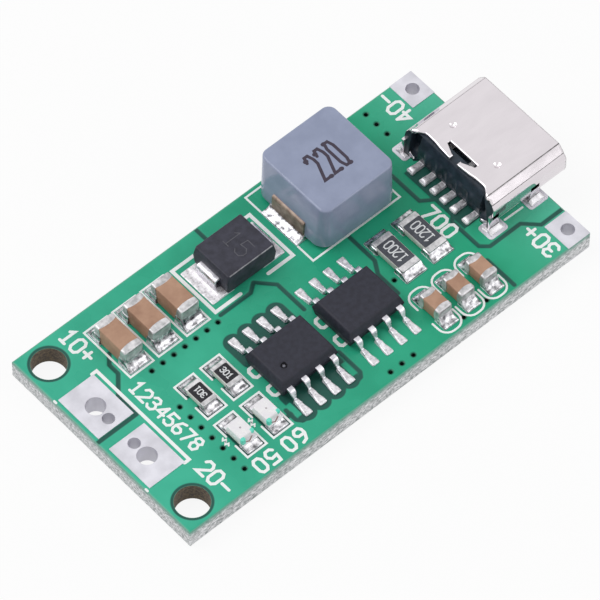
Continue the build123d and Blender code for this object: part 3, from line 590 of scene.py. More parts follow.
notch = [(0, -0.42), (-0.35, -0.42), (-0.5, -0.25), (-0.5, 0.25), (-0.35, 0.42), (0, 0.42)]
for circuit_x in (13.99, 19.97):
    for side in (-1, 1):
        printed(notch, *at(circuit_x - 2.22, 5.675 + side * 0.95), 0.26)
flash = np.array([(-0.28, 4.12), (-0.42, 3.98), (-0.2, 3.9), (-0.32, 3.76)])
for light_x in (6.8, 9.1):
    for step in (0.0, 0.34):
        printed(flash, *at(light_x - 0.2 * step, -step), 0.13)
printed([(3.35, 13.7), (3.75, 13.7), (3.75, 4.35), (3.35, 4.35)], *at(0, 0), 0.26)
printed([(32.4, 4.62), (34.0, 4.58)], *at(0, 0))
for y in (4.4, 13.65):
    printed([(0.08, y - 0.1), (0.08, y + 0.1)], *at(0, 0))
for text, start, reading, height, line, pitch in (
    ("10+", (3.55, 17.35), (0, -1), 1.15, 0.23, 0.85),
    ("20-", (3.55, 3.45), (0, -1), 1.15, 0.23, 0.85),
    ("12345678", (4.4, 11.2), (0, -1), 1.0, 0.2, 0.85),
    ("50", (8.35, 1.42), (-1, 0), 1.1, 0.23, 0.95),
    ("60", (10.87, 1.42), (-1, 0), 1.1, 0.23, 0.95),
    ("700", (28.4, 8.75), (0, -1), 1.15, 0.23, 0.85),
    ("30+", (33.65, 0.4), (0, 1), 1.15, 0.23, 0.85),
    ("40-", (33.7, 15.1), (0, 1), 1.15, 0.23, 0.85),
):
    ink += written(text, at(*start), reading, height, line, pitch)
legend_ink = coat(
    "legend_ink", (250, 255, 255), (255, 255, 255), 0.3, (0.5, 0.65), bump=0.004, bump_grain=0.1,
    Specular_IOR_Level=0.3,
)
new_piece("legend", joined(ink), legend_ink, ["legend_print"])

# Lands: copper left open in the mask and tinned flat. The wide ones at the ends take the leads,
# and their holes are plated through to the back.
tinned = coat(
    "tinned_land", (206, 205, 213), (224, 223, 231), 1.5, (0.38, 0.5), metallic=0.55, bump=0.004,
    bump_grain=0.25,
)


def refinish(finish, *nodes):
    """Gives CAD nodes that show as they are another finish."""
    for node in nodes:
        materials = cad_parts[node].data.materials
        materials.clear()
        materials.append(finish)


refinish(tinned, "battery_land_positive", "battery_land_negative", "socket_leg_lands")
refinish(tinned, "charge_input_land_positive", "charge_input_land_negative")

# Ceramic capacitors: fired blocks of many thin layers, tan outside, dipped at both ends in metal
# that creeps furthest along the middle of each face.


def ring_plan(along_cells, across_cells, arc_cells=3):
    """Where each point of a rounded ring sits: (along, across, angle), once round from the front left corner.

    The centre of its arc lies at that share of the straight half lengths, and the angle is its radius's.
    """
    parts = []
    for cells, start, slope in zip((along_cells, across_cells) * 2, (270, 360, 450, 540), (1, 1, -1, -1)):
        straight = np.linspace(-1, 1, cells + 1)
        slide = np.concatenate([np.full(arc_cells, -1.0), straight, np.ones(arc_cells)])[:-1]
        half = 45 * np.arange(1, arc_cells + 1) / arc_cells
        turns = start + np.concatenate([-half[::-1], np.zeros(cells + 1), half])[:-1]
        parts.append((slide * slope, turns))
    (front_x, front_a), (right_y, right_a), (rear_x, rear_a), (left_y, left_a) = parts
    share_x = np.concatenate([front_x, np.ones(len(right_y)), rear_x, -np.ones(len(left_y))])
    share_y = np.concatenate([-np.ones(len(front_x)), right_y, np.ones(len(rear_x)), left_y])
    angle = np.radians(np.concatenate([front_a, right_a, rear_a, left_a]))
    return share_x, share_y, angle, len(front_x), len(right_y)


def welded(shape):
    """Makes points that share a place one point, so that patches close along their seams."""
    points, faces = shape
    _, first, number = np.unique(np.round(points, 5), axis=0, return_index=True, return_inverse=True)
    return points[first], [number.reshape(-1)[block] for block in faces]


def stacked(levels, plan, relief=None, bow=None):
    """A block of rounded rings, level by level, with a woven top and a flat bottom.

    A level is (height, length, width, corner). A ring's point is share * (half length - corner) + corner *
    cosine along, and the same with width and sine across. The top is the blend of its four sides, weighed by
    nearness, and relief(x, y) raises it. bow(share x, share y) shifts the heights of the first two levels.
    """
    share_x, share_y, angle, nx, ny = plan
    height, length, width, corner = (np.array(column, float)[:, None] for column in zip(*levels))
    ring_x = share_x * (length / 2 - corner) + corner * np.cos(angle)
    ring_y = share_y * (width / 2 - corner) + corner * np.sin(angle)
    ring_z = height + 0 * ring_x
    if bow is not None:
        ring_z[:2] += bow(share_x, share_y)
    rings = np.stack([ring_x, ring_y, ring_z], -1)
    rim = np.concatenate([rings[-1], rings[-1][:1]])
    side_front, side_right = rim[: nx + 1], rim[nx : nx + ny + 1]
    side_rear, side_left = rim[nx + ny : 2 * nx + ny + 1][::-1], rim[2 * nx + ny :][::-1]
    u = np.linspace(0, 1, nx + 1)[None, :, None]
    v = np.linspace(0, 1, ny + 1)[:, None, None]
    top = (1 - v) * side_front[None] + v * side_rear[None]
    top = top + (1 - u) * side_left[:, None] + u * side_right[:, None]
    top -= (1 - u) * (1 - v) * side_front[0] + u * (1 - v) * side_front[-1] + (1 - u) * v * side_rear[0]
    top -= u * v * side_rear[-1]
    if relief is not None:
        top[..., 2] += relief(top[..., 0], top[..., 1])
    count = rings.shape[1]
    faces = [
        grid_quads(len(rings), count, wrap=True),
        grid_quads(ny + 1, nx + 1) + rings.shape[0] * count,
        np.arange(count)[::-1][None],
    ]
    return welded((np.concatenate([rings.reshape(-1, 3), top.reshape(-1, 3)]), faces))


def placed(shape, origin, along=(1, 0, 0), up=(0, 0, 1)):
    """Stands a shape at an origin, with its own x along one way and its own z up another."""
    points, faces = shape
    along, up = np.array(along, float), np.array(up, float)
    turn = np.stack([along, np.cross(up, along), up])
    return points @ turn + np.array(origin), faces


def rounded_levels(height, length, width, corner, edge, steps=4, base=0.0, foot=None):
    """Levels of a block with rounded edges above and below: on a quarter circle of the edge's radius."""
    turn = np.linspace(0, np.pi / 2, steps + 1)
    foot = edge if foot is None else foot
    low = [(base + foot * (1 - np.sin(a)), foot * (1 - np.cos(a))) for a in turn[::-1]]
    high = [(base + height - edge * (1 - np.sin(a)), edge * (1 - np.cos(a))) for a in turn]
    return [(z, length - 2 * i, width - 2 * i, max(corner - i, 0.01)) for z, i in low + high]


ceramic_tan = coat(
    "ceramic_tan", (170, 132, 110), (190, 152, 128), 1.2, (0.5, 0.62), bump=0.005, bump_grain=0.08,
    Specular_IOR_Level=0.3,
)
end_metal = coat(
    "end_metal", (172, 172, 174), (222, 220, 222), 0.5, (0.34, 0.48), metallic=0.7, bump=0.006,
    bump_grain=0.16,
)
chip_plan = ring_plan(8, 14, 3)
end_plan = ring_plan(10, 10, 3)


def end_caps(node, wrap, lip, corner, radius, steps, relief=None, bow=None):
    """Metal on both ends of a chip part: a cup round its faces that closes on a quarter circle of the radius.

    wrap is how far the cup reaches back, and lip is the (place, inset, corner) of its lowest ring.
    """
    x, y, length, width, height, foot, top = measured(node)
    levels = [(lip[0], length - lip[1], height - lip[1], lip[2]), (0.02, length, height, corner)]
    for a in np.linspace(0, np.pi / 2, steps + 1):
        inset = 2 * radius * (1 - np.cos(a))
        levels.append((wrap - radius * (1 - np.sin(a)), length - inset, height - inset, corner))
    cup = stacked(levels, end_plan, relief, bow)
    ends = []
    for side in (-1, 1):
        origin = (x, y + side * (width / 2 - wrap), (foot + top) / 2)
        ends.append(placed(cup, origin, along=(side, 0, 0), up=(0, side, 0)))
    return joined(ends)


def creep(share_x, share_y):
    """The metal runs back by 0.08 mm, less the square of the share of the way off a face's middle."""
    off_middle = np.where(np.abs(share_x) < 1, share_x, share_y)
    return -0.08 * (1 - off_middle**2)


def crowned(a, b):
    """A dipped end stands 0.03 mm proud in its middle and falls off as cosines both ways."""
    return 0.03 * np.cos(a * 1.6) * np.cos(b * 1.6)


cap_skin = 0.035
for group, wrap in (("output_capacitor", 0.5), ("input_capacitor", 0.42)):
    for number in range(1, 4):
        name = f"{group}_{number}"
        x, y, *size, foot, top = measured(f"{name}_ends")
        length, width, height = (span - 2 * cap_skin for span in size)
        levels = rounded_levels(height, length, width, 0.1, 0.08, base=foot + cap_skin)
        body = placed(stacked(levels, chip_plan), (x, y, 0))
        new_piece(f"{name}_ceramic", body, ceramic_tan, [f"{name}_body"])
        caps = end_caps(f"{name}_ends", wrap, (-0.03, 0.12, 0.1), 0.14, 0.14, 4, crowned, creep)
        new_piece(f"{name}_caps", caps, end_metal, [f"{name}_ends"])

# Chip resistors: a white ceramic slip with metal round both ends and a dark glass coat between them,
# printed with plain figures.
white_ceramic = coat("white_ceramic", (206, 204, 198), (226, 226, 222), 0.5, (0.45, 0.6), bump=0.004)
dark_coat = coat(
    "dark_coat", (26, 26, 30), (40, 40, 45), 0.6, (0.4, 0.55), bump=0.004, bump_grain=0.1,
    Specular_IOR_Level=0.3,
)
grey_coat = coat(
    "grey_coat", (66, 69, 76), (84, 87, 95), 0.6, (0.45, 0.6), bump=0.004, bump_grain=0.1,
    Specular_IOR_Level=0.3,
)
coat_figures = coat("coat_figures", (210, 212, 214), (236, 238, 240), 0.2, (0.5, 0.6))
resistors = (
    ("light_resistor_1", "301", -1, 0.35, 0.44, 0.085, 0.75, dark_coat),
    ("light_resistor_2", "301", 1, 0.35, 0.44, 0.085, 0.75, dark_coat),
    ("sense_resistor_1", "1200", -1, 0.48, 0.76, 0.1, 0.6, grey_coat),
    ("sense_resistor_2", "1200", -1, 0.48, 0.76, 0.1, 0.6, grey_coat),
)
for name, figures, way, wrap, figure_height, figure_line, pitch, finish in resistors:
    x, y, length, width, height, foot, top = measured(f"{name}_ends")
    levels = rounded_levels(height - 0.08, length - 0.02, width - 0.08, 0.04, 0.03, steps=2, base=foot + 0.04)
    slip = placed(stacked(levels, chip_plan), (x, y, 0))
    new_piece(f"{name}_slip", slip, white_ceramic, [f"{name}_substrate"])
    _, _, coat_length, coat_width, coat_height, coat_foot, coat_top = measured(f"{name}_coat")
    coat_width += 0.06
    levels = rounded_levels(coat_height, coat_length, coat_width, 0.12, 0.035, base=coat_foot, foot=0.01)
    glass = stacked(levels, chip_plan, lambda a, b: 0.008 * np.cos(a * 2) * np.cos(b * 1.5))
    glass = placed(glass, (x, y, 0))
    new_piece(f"{name}_glass", glass, finish, [f"{name}_coat"])
    narrow = 0.75 * pitch / 0.6
    run = ((len(figures) - 1) * pitch + 0.6 * narrow) * figure_height
    start = np.array((x - way * figure_height / 2, y + way * run / 2))
    level = coat_top - 0.012
    marks = written(figures, start, (0, -way), figure_height, figure_line, pitch, narrow, level)
    new_piece(f"{name}_figures", joined(marks), coat_figures)
    caps = end_caps(f"{name}_ends", wrap, (-0.01, 0.06, 0.05), 0.06, 0.07, 3)
    new_piece(f"{name}_caps", caps, end_metal, [f"{name}_ends"])

# Indicator lights: a small white base with metal ends carries the light chip under a milky moulded
# lens, and two green marks show beside its front end.
clear_lens = coat(
    "clear_lens", (250, 247, 252), (255, 254, 255), 0.5, (0.15, 0.3), bump=0.004, IOR=1.5,
    Transmission_Weight=0.05,
)
light_cap = coat("light_cap", (236, 232, 238), (252, 250, 254), 0.3, (0.3, 0.45), metallic=0.2, bump=0.006)
light_green = coat("light_mark_green", (84, 222, 196), (130, 236, 214), 0.3, (0.4, 0.5))
light_chip = coat("light_chip", (168, 160, 166), (196, 188, 194), 0.2, (0.3, 0.5))
light_brown = coat("light_brown", (140, 108, 104), (176, 146, 140), 0.2, (0.3, 0.5))
for name in ("indicator_light_1", "indicator_light_2"):
    x, y, length, width, height, foot, base_top = measured(f"{name}_base")
    levels = rounded_levels(height, length, width, 0.05, 0.03, steps=2, base=foot)
    base = placed(stacked(levels, chip_plan), (x, y, 0))
    new_piece(f"{name}_block", base, white_ceramic, [f"{name}_base"])
    _, _, length, width, _, foot, top = measured(f"{name}_lens")
    edge = 0.05
    levels = [
        (foot, length, width, 0.08),
        (foot + 0.2, length, width, 0.08),
        (top - edge, length - 0.05, width - 0.08, 0.14),
        (top - 0.3 * edge, length - 0.08, width - 0.11, 0.14),
        (top, length - 0.16, width - 0.19, 0.14),
    ]
    lens = placed(stacked(levels, chip_plan, lambda a, b: 0.02 * np.cos(a * 2.4) * np.cos(b * 2)), (x, y, 0))
    new_piece(f"{name}_dome", lens, clear_lens, [f"{name}_lens"])
    chip_levels = rounded_levels(0.03, 0.14, 0.14, 0.06, 0.012, steps=2, base=top + 0.004)
    chip = placed(stacked(chip_levels, end_plan), (x, y + 0.02, 0))
    new_piece(f"{name}_chip", chip, light_chip)
    levels = rounded_levels(top - base_top + 0.01, 0.34, 0.32, 0.12, 0.06, steps=2, base=base_top)
    mark = stacked(levels, end_plan)
    marks = [placed(mark, (x + side * 0.46, y - 0.68 + 0.1 * side, 0)) for side in (-1, 1)]
    new_piece(f"{name}_marks", joined(marks), light_green)
    *_, height, foot, top = measured(f"{name}_ends")
    cap = stacked(rounded_levels(height + 0.02, 1.25, 0.3, 0.05, 0.04, steps=3, base=foot), chip_plan)
    caps = [placed(cap, (x, y + side * 0.86, 0)) for side in (-1, 1)]
    new_piece(f"{name}_caps", joined(caps), light_cap, [f"{name}_ends"])
    vee = [(x - 0.42, y - 0.78), (x - 0.05, y - 0.96), (x + 0.36, y - 0.76)]
    new_piece(f"{name}_vee", ink_line(vee, 0.09, level=top + 0.01), light_brown)

# Moulded circuits: black filled resin pressed round the lead frame, with drafted sides that meet at the
# parting line, and eight tinned leads bent down to flat feet.


def bent(path, radius, steps=5):
    """A path whose corners are rounded: each becomes the curve (1-t)^2 a + 2t(1-t) corner + t^2 b."""
    path = np.asarray(path, float)
    t = np.linspace(0, 1, steps + 1)[:, None]
    runs = [path[:1]]
    for before, corner, after in zip(path, path[1:], path[2:]):
        back, ahead = before - corner, after - corner
        a = corner + back / np.linalg.norm(back) * min(radius, np.linalg.norm(back) / 2)
        b = corner + ahead / np.linalg.norm(ahead) * min(radius, np.linalg.norm(ahead) / 2)
        runs.append((1 - t) ** 2 * a + 2 * t * (1 - t) * corner + t**2 * b)
    return np.concatenate(runs + [path[-1:]])


strap_plan = ring_plan(1, 1, 2)


def strap(path, side, width, thickness, edge=0.04):
    """A flat metal strip carried along a path: a rounded rectangle across the path, its width along side.

    The path runs along the middle of its thickness, and width may differ from point to point.
    """
    path, side = np.asarray(path, float), np.asarray(side, float)
    share_x, share_y, angle = strap_plan[:3]
    tangent = np.gradient(path, axis=0)
    tangent /= np.linalg.norm(tangent, axis=1, keepdims=True)
    upward = np.cross(tangent, side)
    width = np.broadcast_to(width, len(path))[:, None]
    across = share_x * (width / 2 - edge) + edge * np.cos(angle)
    over = share_y * (thickness / 2 - edge) + edge * np.sin(angle)
    points = path[:, None] + across[..., None] * side + over[..., None] * upward[:, None]
    count = len(share_x)
    ends = [np.arange(count)[::-1][None], np.arange(count)[None] + (len(path) - 1) * count]
    return points.reshape(-1, 3), [grid_quads(len(path), count, wrap=True), *ends]


black_resin = coat(
    "black_resin", (42, 42, 52), (52, 53, 64), 0.35, (0.5, 0.62), bump=0.008, bump_grain=0.06,
    Specular_IOR_Level=0.28,
)
# Pit finishes: a near-black ring of painted shade round the pit, and a lighter painted highlight in its
# middle.
pit_shade = coat("pit_shade", (10, 10, 14), (20, 20, 26), 0.1, (0.5, 0.6), Specular_IOR_Level=0.1)
pit_painted_highlight = coat("pit_painted_highlight", (92, 92, 104), (130, 130, 142), 0.1, (0.2, 0.3))
lead_metal = coat(
    "lead_metal", (188, 186, 194), (238, 236, 242), 0.4, (0.22, 0.38), metallic=0.85, bump=0.01,
    bump_grain=0.2,
)
circuit_plan = ring_plan(60, 48, 3)
lead_pitch = 1.27


def drafted_levels(node, draft, edge, corner, belt, steps):
    """Levels of a moulding: widest on the belt at half height, leaning in from it, with a rounded top edge.

    Above the belt each of its ends and sides leans in by the draft (along, across), and below it by half of
    that. The belt is a list of heights from half height, and the edge is a quarter circle of that radius.
    """
    _, _, length, width, height, foot, top = measured(node)
    levels = [(foot, length - draft[0], width - draft[1], corner)]
    levels += [(foot + height / 2 + up, length, width, corner) for up in belt]
    for a in np.linspace(0, np.pi / 2, steps + 1):
        drop, inset = edge * (1 - np.sin(a)), edge * (1 - np.cos(a))
        share = 1 - drop / (height / 2)
        long, wide = length - 2 * draft[0] * share - 2 * inset, width - 2 * draft[1] * share - 2 * inset
        levels.append((top - drop, long, wide, corner))
    return levels


def face_middles(piece):
    """The middle of each face of a piece, in millimetres."""
    middles = np.zeros(len(piece.data.polygons) * 3)
    piece.data.polygons.foreach_get("center", middles)
    return middles.reshape(-1, 3) / mm


for name, dimpled in (("charge_controller", True), ("power_switch", False)):
    x, y, length, width, _, _, top = measured(f"{name}_body")

    def pit_distance(a, b):
        """Distance from the mark beside the first lead, for a place given from the body's middle."""
        return np.hypot(a + length / 2 - 1.19, b + width / 2 - 1.29)

    def face(a, b):
        """A small round pit at the first lead's corner, with steep sides and a bump in its middle."""
        away = pit_distance(a, b)
        return dimpled * (0.07 * np.exp(-((away / 0.12) ** 2)) - 0.14 * np.clip(1 - (away / 0.28) ** 4, 0, 1))

    levels = drafted_levels(f"{name}_body", (0.22, 0.32), 0.12, 0.08, (-0.02, 0.02), 5)
    body = placed(stacked(levels, circuit_plan, face), (x, y, 0))
    moulding = new_piece(f"{name}_moulding", body, black_resin, [f"{name}_body"])
    if dimpled:
        moulding.data.materials.append(pit_shade)
        moulding.data.materials.append(pit_painted_highlight)
        middle = face_middles(moulding)
        away = pit_distance(middle[:, 0] - x, middle[:, 1] - y)
        pit_number = np.where(away < 0.1, 2, np.where(away < 0.25, 1, 0)) * (middle[:, 2] > top - 0.3)
        moulding.data.polygons.foreach_set("material_index", pit_number)
    _, _, _, span, _, foot, top = measured(f"{name}_leads")
    profile = bent([(1.75, top - 0.1), (2.22, top - 0.1), (2.5, foot + 0.1), (span / 2, foot + 0.1)], 0.16)
    waist = np.interp(profile[:, 0], (1.75, 2.3, 2.42, 2.62, 2.8, 3.0), (0.46, 0.46, 0.26, 0.24, 0.32, 0.42))
    leads = []
    for side in (-1, 1):
        for k in range(4):
            lead_x = np.full(len(profile), x + (k - 1.5) * lead_pitch)
            path = np.column_stack([lead_x, y + side * profile[:, 0], profile[:, 1]])
            leads.append(strap(path, (1, 0, 0), waist, 0.2))
    new_piece(f"{name}_frame", joined(leads), lead_metal, [f"{name}_leads"])

# Diode: a moulded block, wide at its parting line, with two bright straps that leave it halfway up
# and fold down and under.
x, y, _, width, height, foot, top = measured("diode_body")
side_draft, edge = 0.1, 0.06
levels = drafted_levels("diode_body", (0.16, side_draft), edge, 0.12, (0,), 3)
diode_resin = coat(
    "diode_resin", (50, 50, 60), (64, 64, 76), 0.5, (0.4, 0.52), bump=0.006, bump_grain=0.08,
    Specular_IOR_Level=0.28,
)
moulding = placed(stacked(levels, circuit_plan), (x, y, 0))
case = new_piece("diode_moulding", moulding, diode_resin, ["diode_body"])
# Painted highlight: a lighter finish along the moulding's top front edge.
painted_edge_highlight = coat("painted_edge_highlight", (108, 108, 114), (170, 170, 176), 0.5, (0.2, 0.3))
case.data.materials.append(painted_edge_highlight)
middle = face_middles(case)
front_run = width / 2 - side_draft - edge
on_edge = (middle[:, 2] > top - edge) & (y - middle[:, 1] > front_run + 0.01)
on_edge &= np.abs(middle[:, 0] - x) < 1.9
case.data.polygons.foreach_set("material_index", on_edge.astype(np.int32))
scribed = coat("scribed_resin", (72, 72, 80), (88, 88, 96), 0.4, (0.4, 0.5))
scribe_marks = written("15", (x - 0.35, y + 0.9), (0, -1), 1.3, 0.07, level=top - 0.012)
new_piece("diode_figures", joined(scribe_marks), scribed)
middle_z = foot + height / 2
_, _, reach, strap_width, _, foot, _ = measured("diode_terminals")
bend_x, foot_z = reach / 2 - 0.1, foot + 0.1
profile = bent([(1.9, middle_z), (bend_x, middle_z), (bend_x, foot_z), (1.1, foot_z)], 0.22)
straps = []
for side in (-1, 1):
    path = np.column_stack([x + side * profile[:, 0], np.full(len(profile), y), profile[:, 1]])
    straps.append(strap(path, (0, 1, 0), strap_width, 0.2, 0.04))
new_piece("diode_straps", joined(straps), lead_metal, ["diode_terminals"])

# Inductor: metal powder pressed round a coil into a rounded grey block, with a flat copper strap on
# each side that comes out low down and turns under. Plain figures are printed on its top.
x, y, length, width, height, foot, top = measured("inductor_core")
edge, foot_edge = 0.15, 0.1
top_length, top_width = 6.44, 6.72
levels = []
for a in np.linspace(0, np.pi / 2, 4):
    inset = foot_edge * (1 - np.sin(a))
    levels.append((foot + foot_edge * (1 - np.cos(a)), length - 2 * inset, width - 2 * inset, 1.1 - inset))
for share in (0.35, 0.7):
    slope = (length + (top_length - length) * share, width + (top_width - width) * share, 1.1 - 0.42 * share)
    levels.append((foot + foot_edge + (height - foot_edge - edge) * share, *slope))
for a in np.linspace(0, np.pi / 2, 6):
    inset = edge * (1 - np.cos(a))
    ring = (top_length - 2 * inset, top_width - 2 * inset, 0.68 - 0.5 * inset)
    levels.append((top - edge * (1 - np.sin(a)), *ring))
powder = coat(
    "pressed_powder", (144, 153, 180), (153, 162, 189), 1.4, (0.14, 0.2), bump=0.002, bump_grain=0.12,
    Specular_IOR_Level=0.5,
)
core_plan = ring_plan(24, 24, 8)
core = placed(stacked(levels, core_plan), (x, y, 0))
new_piece("inductor_block", core, powder, ["inductor_core"])
figure_ink = coat("figure_ink", (44, 34, 52), (58, 48, 64), 0.3, (0.5, 0.6))
level = top - 0.012
marks = written("220", at(23.42, 12.84), (1, 0), 2.3, 0.24, pitch=0.39, narrow=0.4, level=level)
dots = [(23.45, 14.85), (23.97, 12.84), (24.32, 14.9), (24.87, 12.84), (25.3, 15.14), (25.7, 12.84)]
marks += [ink_line([at(a - 0.03, b), at(a + 0.03, b)], 0.34, lift=0.003, level=level) for a, b in dots]
new_piece("inductor_figures", joined(marks), figure_ink)
copper = coat(
    "strap_copper", (122, 104, 94), (170, 152, 138), 0.5, (0.4, 0.55), metallic=0.6, bump=0.012,
    bump_grain=0.2,
)
strap_thickness = 0.22
for side, place in ((-1, "battery_side"), (1, "socket_side")):
    node = f"inductor_terminal_{place}"
    x, y, length, strap_width, _, foot, top = measured(node)
    upright = x + side * (length - strap_thickness) / 2
    low_z, high_z = foot + strap_thickness / 2, top - strap_thickness / 2
    over_x, under_x = upright - side * 0.3, upright - side * 1.4
    profile = bent([(over_x, high_z), (upright, high_z), (upright, low_z), (under_x, low_z)], 0.2)
    path = np.column_stack([profile[:, 0], np.full(len(profile), y), profile[:, 1]])
    shape = strap(path, (0, 1, 0), strap_width, strap_thickness, 0.05)
    new_piece(f"inductor_strap_{place}", shape, copper, [node])

# Socket shell: stainless sheet folded to a rounded tube. Its rear edge is cut in a wavy bite, a lock slot
# opens through it on top, two dimples are pressed down, and four legs drop from its sides into the board.
shell_low, shell_high = corners("socket_shell")
shell_x = shell_low[0]
shell_length, shell_width = (shell_high - shell_low)[:2]
seat = deck + 0.05
shell_height = shell_high[2] - seat
shell_corner, shell_wall = 1.1, 0.22
shell_middle = (shell_high[2] + seat) / 2
share_x, share_y, angle, _, _ = ring_plan(72, 10, 8)
ring_y = share_x * (shell_width / 2 - shell_corner) + shell_corner * np.cos(angle)
ring_z = share_y * (shell_height / 2 - shell_corner) + shell_corner * np.sin(angle)
turn_at = (0, 11.25, 22.5, 33.75, 39.375, 45, 73.125, 78.75, 84.375, 90)
turn_out = (4.45, 4.44, 4.4, 4.29, 4.22, 4.17, 3.76, 3.7, 3.63, 3.35)
turn_up = (1.9, 2.0, 2.12, 2.32, 2.4, 2.46, 2.94, 3.0, 3.0, 3.0)
turned = np.degrees(np.arcsin(np.clip(np.sin(angle), 0, 1)))
bend = (np.abs(share_x) > 0.999) & (share_y > 0.999)
ring_y = np.where(bend, np.sign(share_x) * np.interp(turned, turn_at, turn_out), ring_y)
ring_z = np.where(bend, np.interp(turned, turn_at, turn_up) - shell_height / 2, ring_z)
upper = ring_z > 0.2
reach_y = np.abs(ring_y)
bite_y = np.array((0.0, 0.6, 1.45, 2.0, 2.7, 3.0, 3.35, 3.65, 4.1, 4.4, 4.5))
bite_x = np.array((0.62, 0.65, 0.71, 0.8, 0.82, 0.78, 0.54, 0.3, 0.2, 0.0, 0.0))
side_edge = np.interp(ring_z, (-1.5, 1.1), (0.12, 0.4))
top_edge = np.maximum(np.interp(reach_y, bite_y, bite_x), side_edge * (reach_y > 3.9))
rear_edge_x = np.where(upper & (reach_y < 4.2), top_edge, side_edge)
slot_half, slot_rear = 1.35, 1.35
notched = np.interp(reach_y, (0.34, 0.42, 0.55, slot_half), (1.0, 0.93, 0.98, slot_rear))
slot_line = np.where(upper & (reach_y < slot_half), notched, slot_rear)
lead_in = np.linspace(0, 1, 6)[:, None]
rows_rear = rear_edge_x + (slot_line - rear_edge_x) * lead_in
rows_front = np.r_[1.63, np.arange(1.72, 3.1, 0.06), np.linspace(3.1, shell_length, 22)][:, None] + 0 * ring_y
rows = np.concatenate([rows_rear, rows_front])
grid_y = ring_y + 0 * rows
grid_z = shell_middle + ring_z + 0 * rows
for side in (-1, 1):
    away = np.hypot(rows - 2.62, grid_y - side * 2.22)
    grid_z = grid_z - 0.16 * np.clip(1 - (away / 0.27) ** 2, 0, 1) * (grid_z > shell_middle + 1)
crease_depth = 0.06
creased = bend & (np.isclose(turned, 78.75) | np.isclose(turned, 39.375))
grid_y = grid_y - crease_depth * creased * np.cos(angle)
grid_z = grid_z - crease_depth * creased * np.sin(angle)
count = len(ring_y)
quads = grid_quads(len(rows), count, wrap=True)
quad_row, column = np.divmod(quads[:, 0], count)
beside = (column + 1) % count
column_y = np.abs((ring_y[column] + ring_y[beside]) / 2)
column_z = (ring_z[column] + ring_z[beside]) / 2
slot_row = len(rows_rear) - 1
cut = (quad_row == slot_row) & (column_y < slot_half) & (column_z > 0)
cut |= (quad_row < slot_row) & (column_y < 0.38) & (column_z > 0)
cut |= (rows[quad_row, column] < slot_rear) & (column_y < 3.35) & (column_z < 0)
quads, column, beside = quads[~cut], column[~cut], beside[~cut]
shell_points = np.stack([shell_x + rows, grid_y, grid_z], -1).reshape(-1, 3)
used, shell_faces = compacted(len(shell_points), quads)
crease_shade = coat("crease_shade", (70, 66, 68), (150, 146, 148), 0.3, (0.3, 0.4))
stainless = coat(
    "stainless_sheet", (221, 215, 219), (226, 220, 224), 2.5, (0.07, 0.12), metallic=0.9, bump=0.0006,
    bump_grain=0.8, stretch=(1, 3, 1),
)
shell = new_piece("shell", (shell_points[used], shell_faces), stainless, ["socket_shell"])
outer_side = creased[column] & (turned[beside] > turned[column])
outer_side |= creased[beside] & (turned[column] > turned[beside])
shell.data.materials.append(crease_shade)
shell.data.polygons.foreach_set("material_index", outer_side.astype(np.int32))
thicken = shell.modifiers.new("sheet", "SOLIDIFY")
thicken.thickness = shell_wall * mm
thicken.offset = -1
legs = []
for box in leg_lands:
    leg_x, leg_y = box_middle(box)
    leg_y = np.sign(leg_y) * (shell_width - shell_wall) / 2
    path = np.array([(leg_x, leg_y, z) for z in np.linspace(shell_middle, deck - 1.3, 12)])
    legs.append(strap(path, (1, 0, 0), np.r_[np.full(10, 0.85), 0.8, 0.6], shell_wall, 0.04))
new_piece("shell_legs", joined(legs), stainless)

# Socket body: black moulding that closes the shell's rear, humped between the contacts and drawn out
# to a post at either end. The tongue, the latch plate and the contacts are moulded into it.
_, _, _, body_width, body_height, foot, top = measured("socket_body")
body_middle = (foot + top) / 2
rise_at = np.array((0.0, 0.5, 1.0, 1.6, 2.3, 2.42, 2.55, 2.72))
rise_out = np.array((0.16, 0.28, 0.3, 0.2, -0.06, -0.12, -0.3, -0.5))
between = (0.0, 1.0, -1.0, 2.1, -2.1)


def ribbed(a, b):
    """Rear face: heights that run up to a ridge, raised cosines between the contacts, pockets at the ends."""
    up = b + body_height / 2
    face = np.interp(up, rise_at, rise_out)
    humps = np.max([np.cos(np.clip((a - spot) / 0.42, -1, 1) * np.pi / 2) ** 2 for spot in between], axis=0)
    humps = 0.22 * humps * np.clip(1 - ((up - 0.95) / 0.85) ** 2, 0, 1)
    pocket = np.clip((np.abs(a) - 3.1) / 0.2, 0, 1)
    pocket_floor = np.interp(up, (0.0, 0.5, 0.9), (0.45, 0.2, -0.4))
    return (face + humps) * (1 - pocket) + pocket_floor * pocket


socket_black = coat(
    "socket_black", (30, 40, 50), (44, 56, 68), 0.6, (0.28, 0.42), bump=0.005, bump_grain=0.1,
    Specular_IOR_Level=0.35,
)
body_plan = ring_plan(110, 36, 4)
body_levels = [(-0.8, body_width, body_height, 0.8), (0.0, body_width, body_height, 0.8)]
body_shape = stacked(body_levels, body_plan, ribbed)
body_shape = placed(body_shape, (shell_x + 0.55, 0, body_middle), along=(0, -1, 0), up=(-1, 0, 0))
post_front = 1.1
post_up = (0.02, 0.8, 1.5, 1.9, 2.15, 2.4, 2.66)
post_sides = (
    (
        1,
        (3.84, 3.84, 3.84, 3.82, 3.8, 3.78, 3.74),
        (4.38, 4.4, 4.42, 4.42, 4.36, 4.2, 3.96),
        (0.1, 0.16, 0.22, 0.27, 0.31, 0.36, 0.44),
    ),
    (
        -1,
        (4.02, 3.92, 3.72, 3.6, 3.5, 3.4, 3.3),
        (4.16, 4.26, 4.32, 4.36, 4.3, 4.16, 3.94),
        (0.06, 0.16, 0.24, 0.29, 0.33, 0.38, 0.46),
    ),
)
posts = []
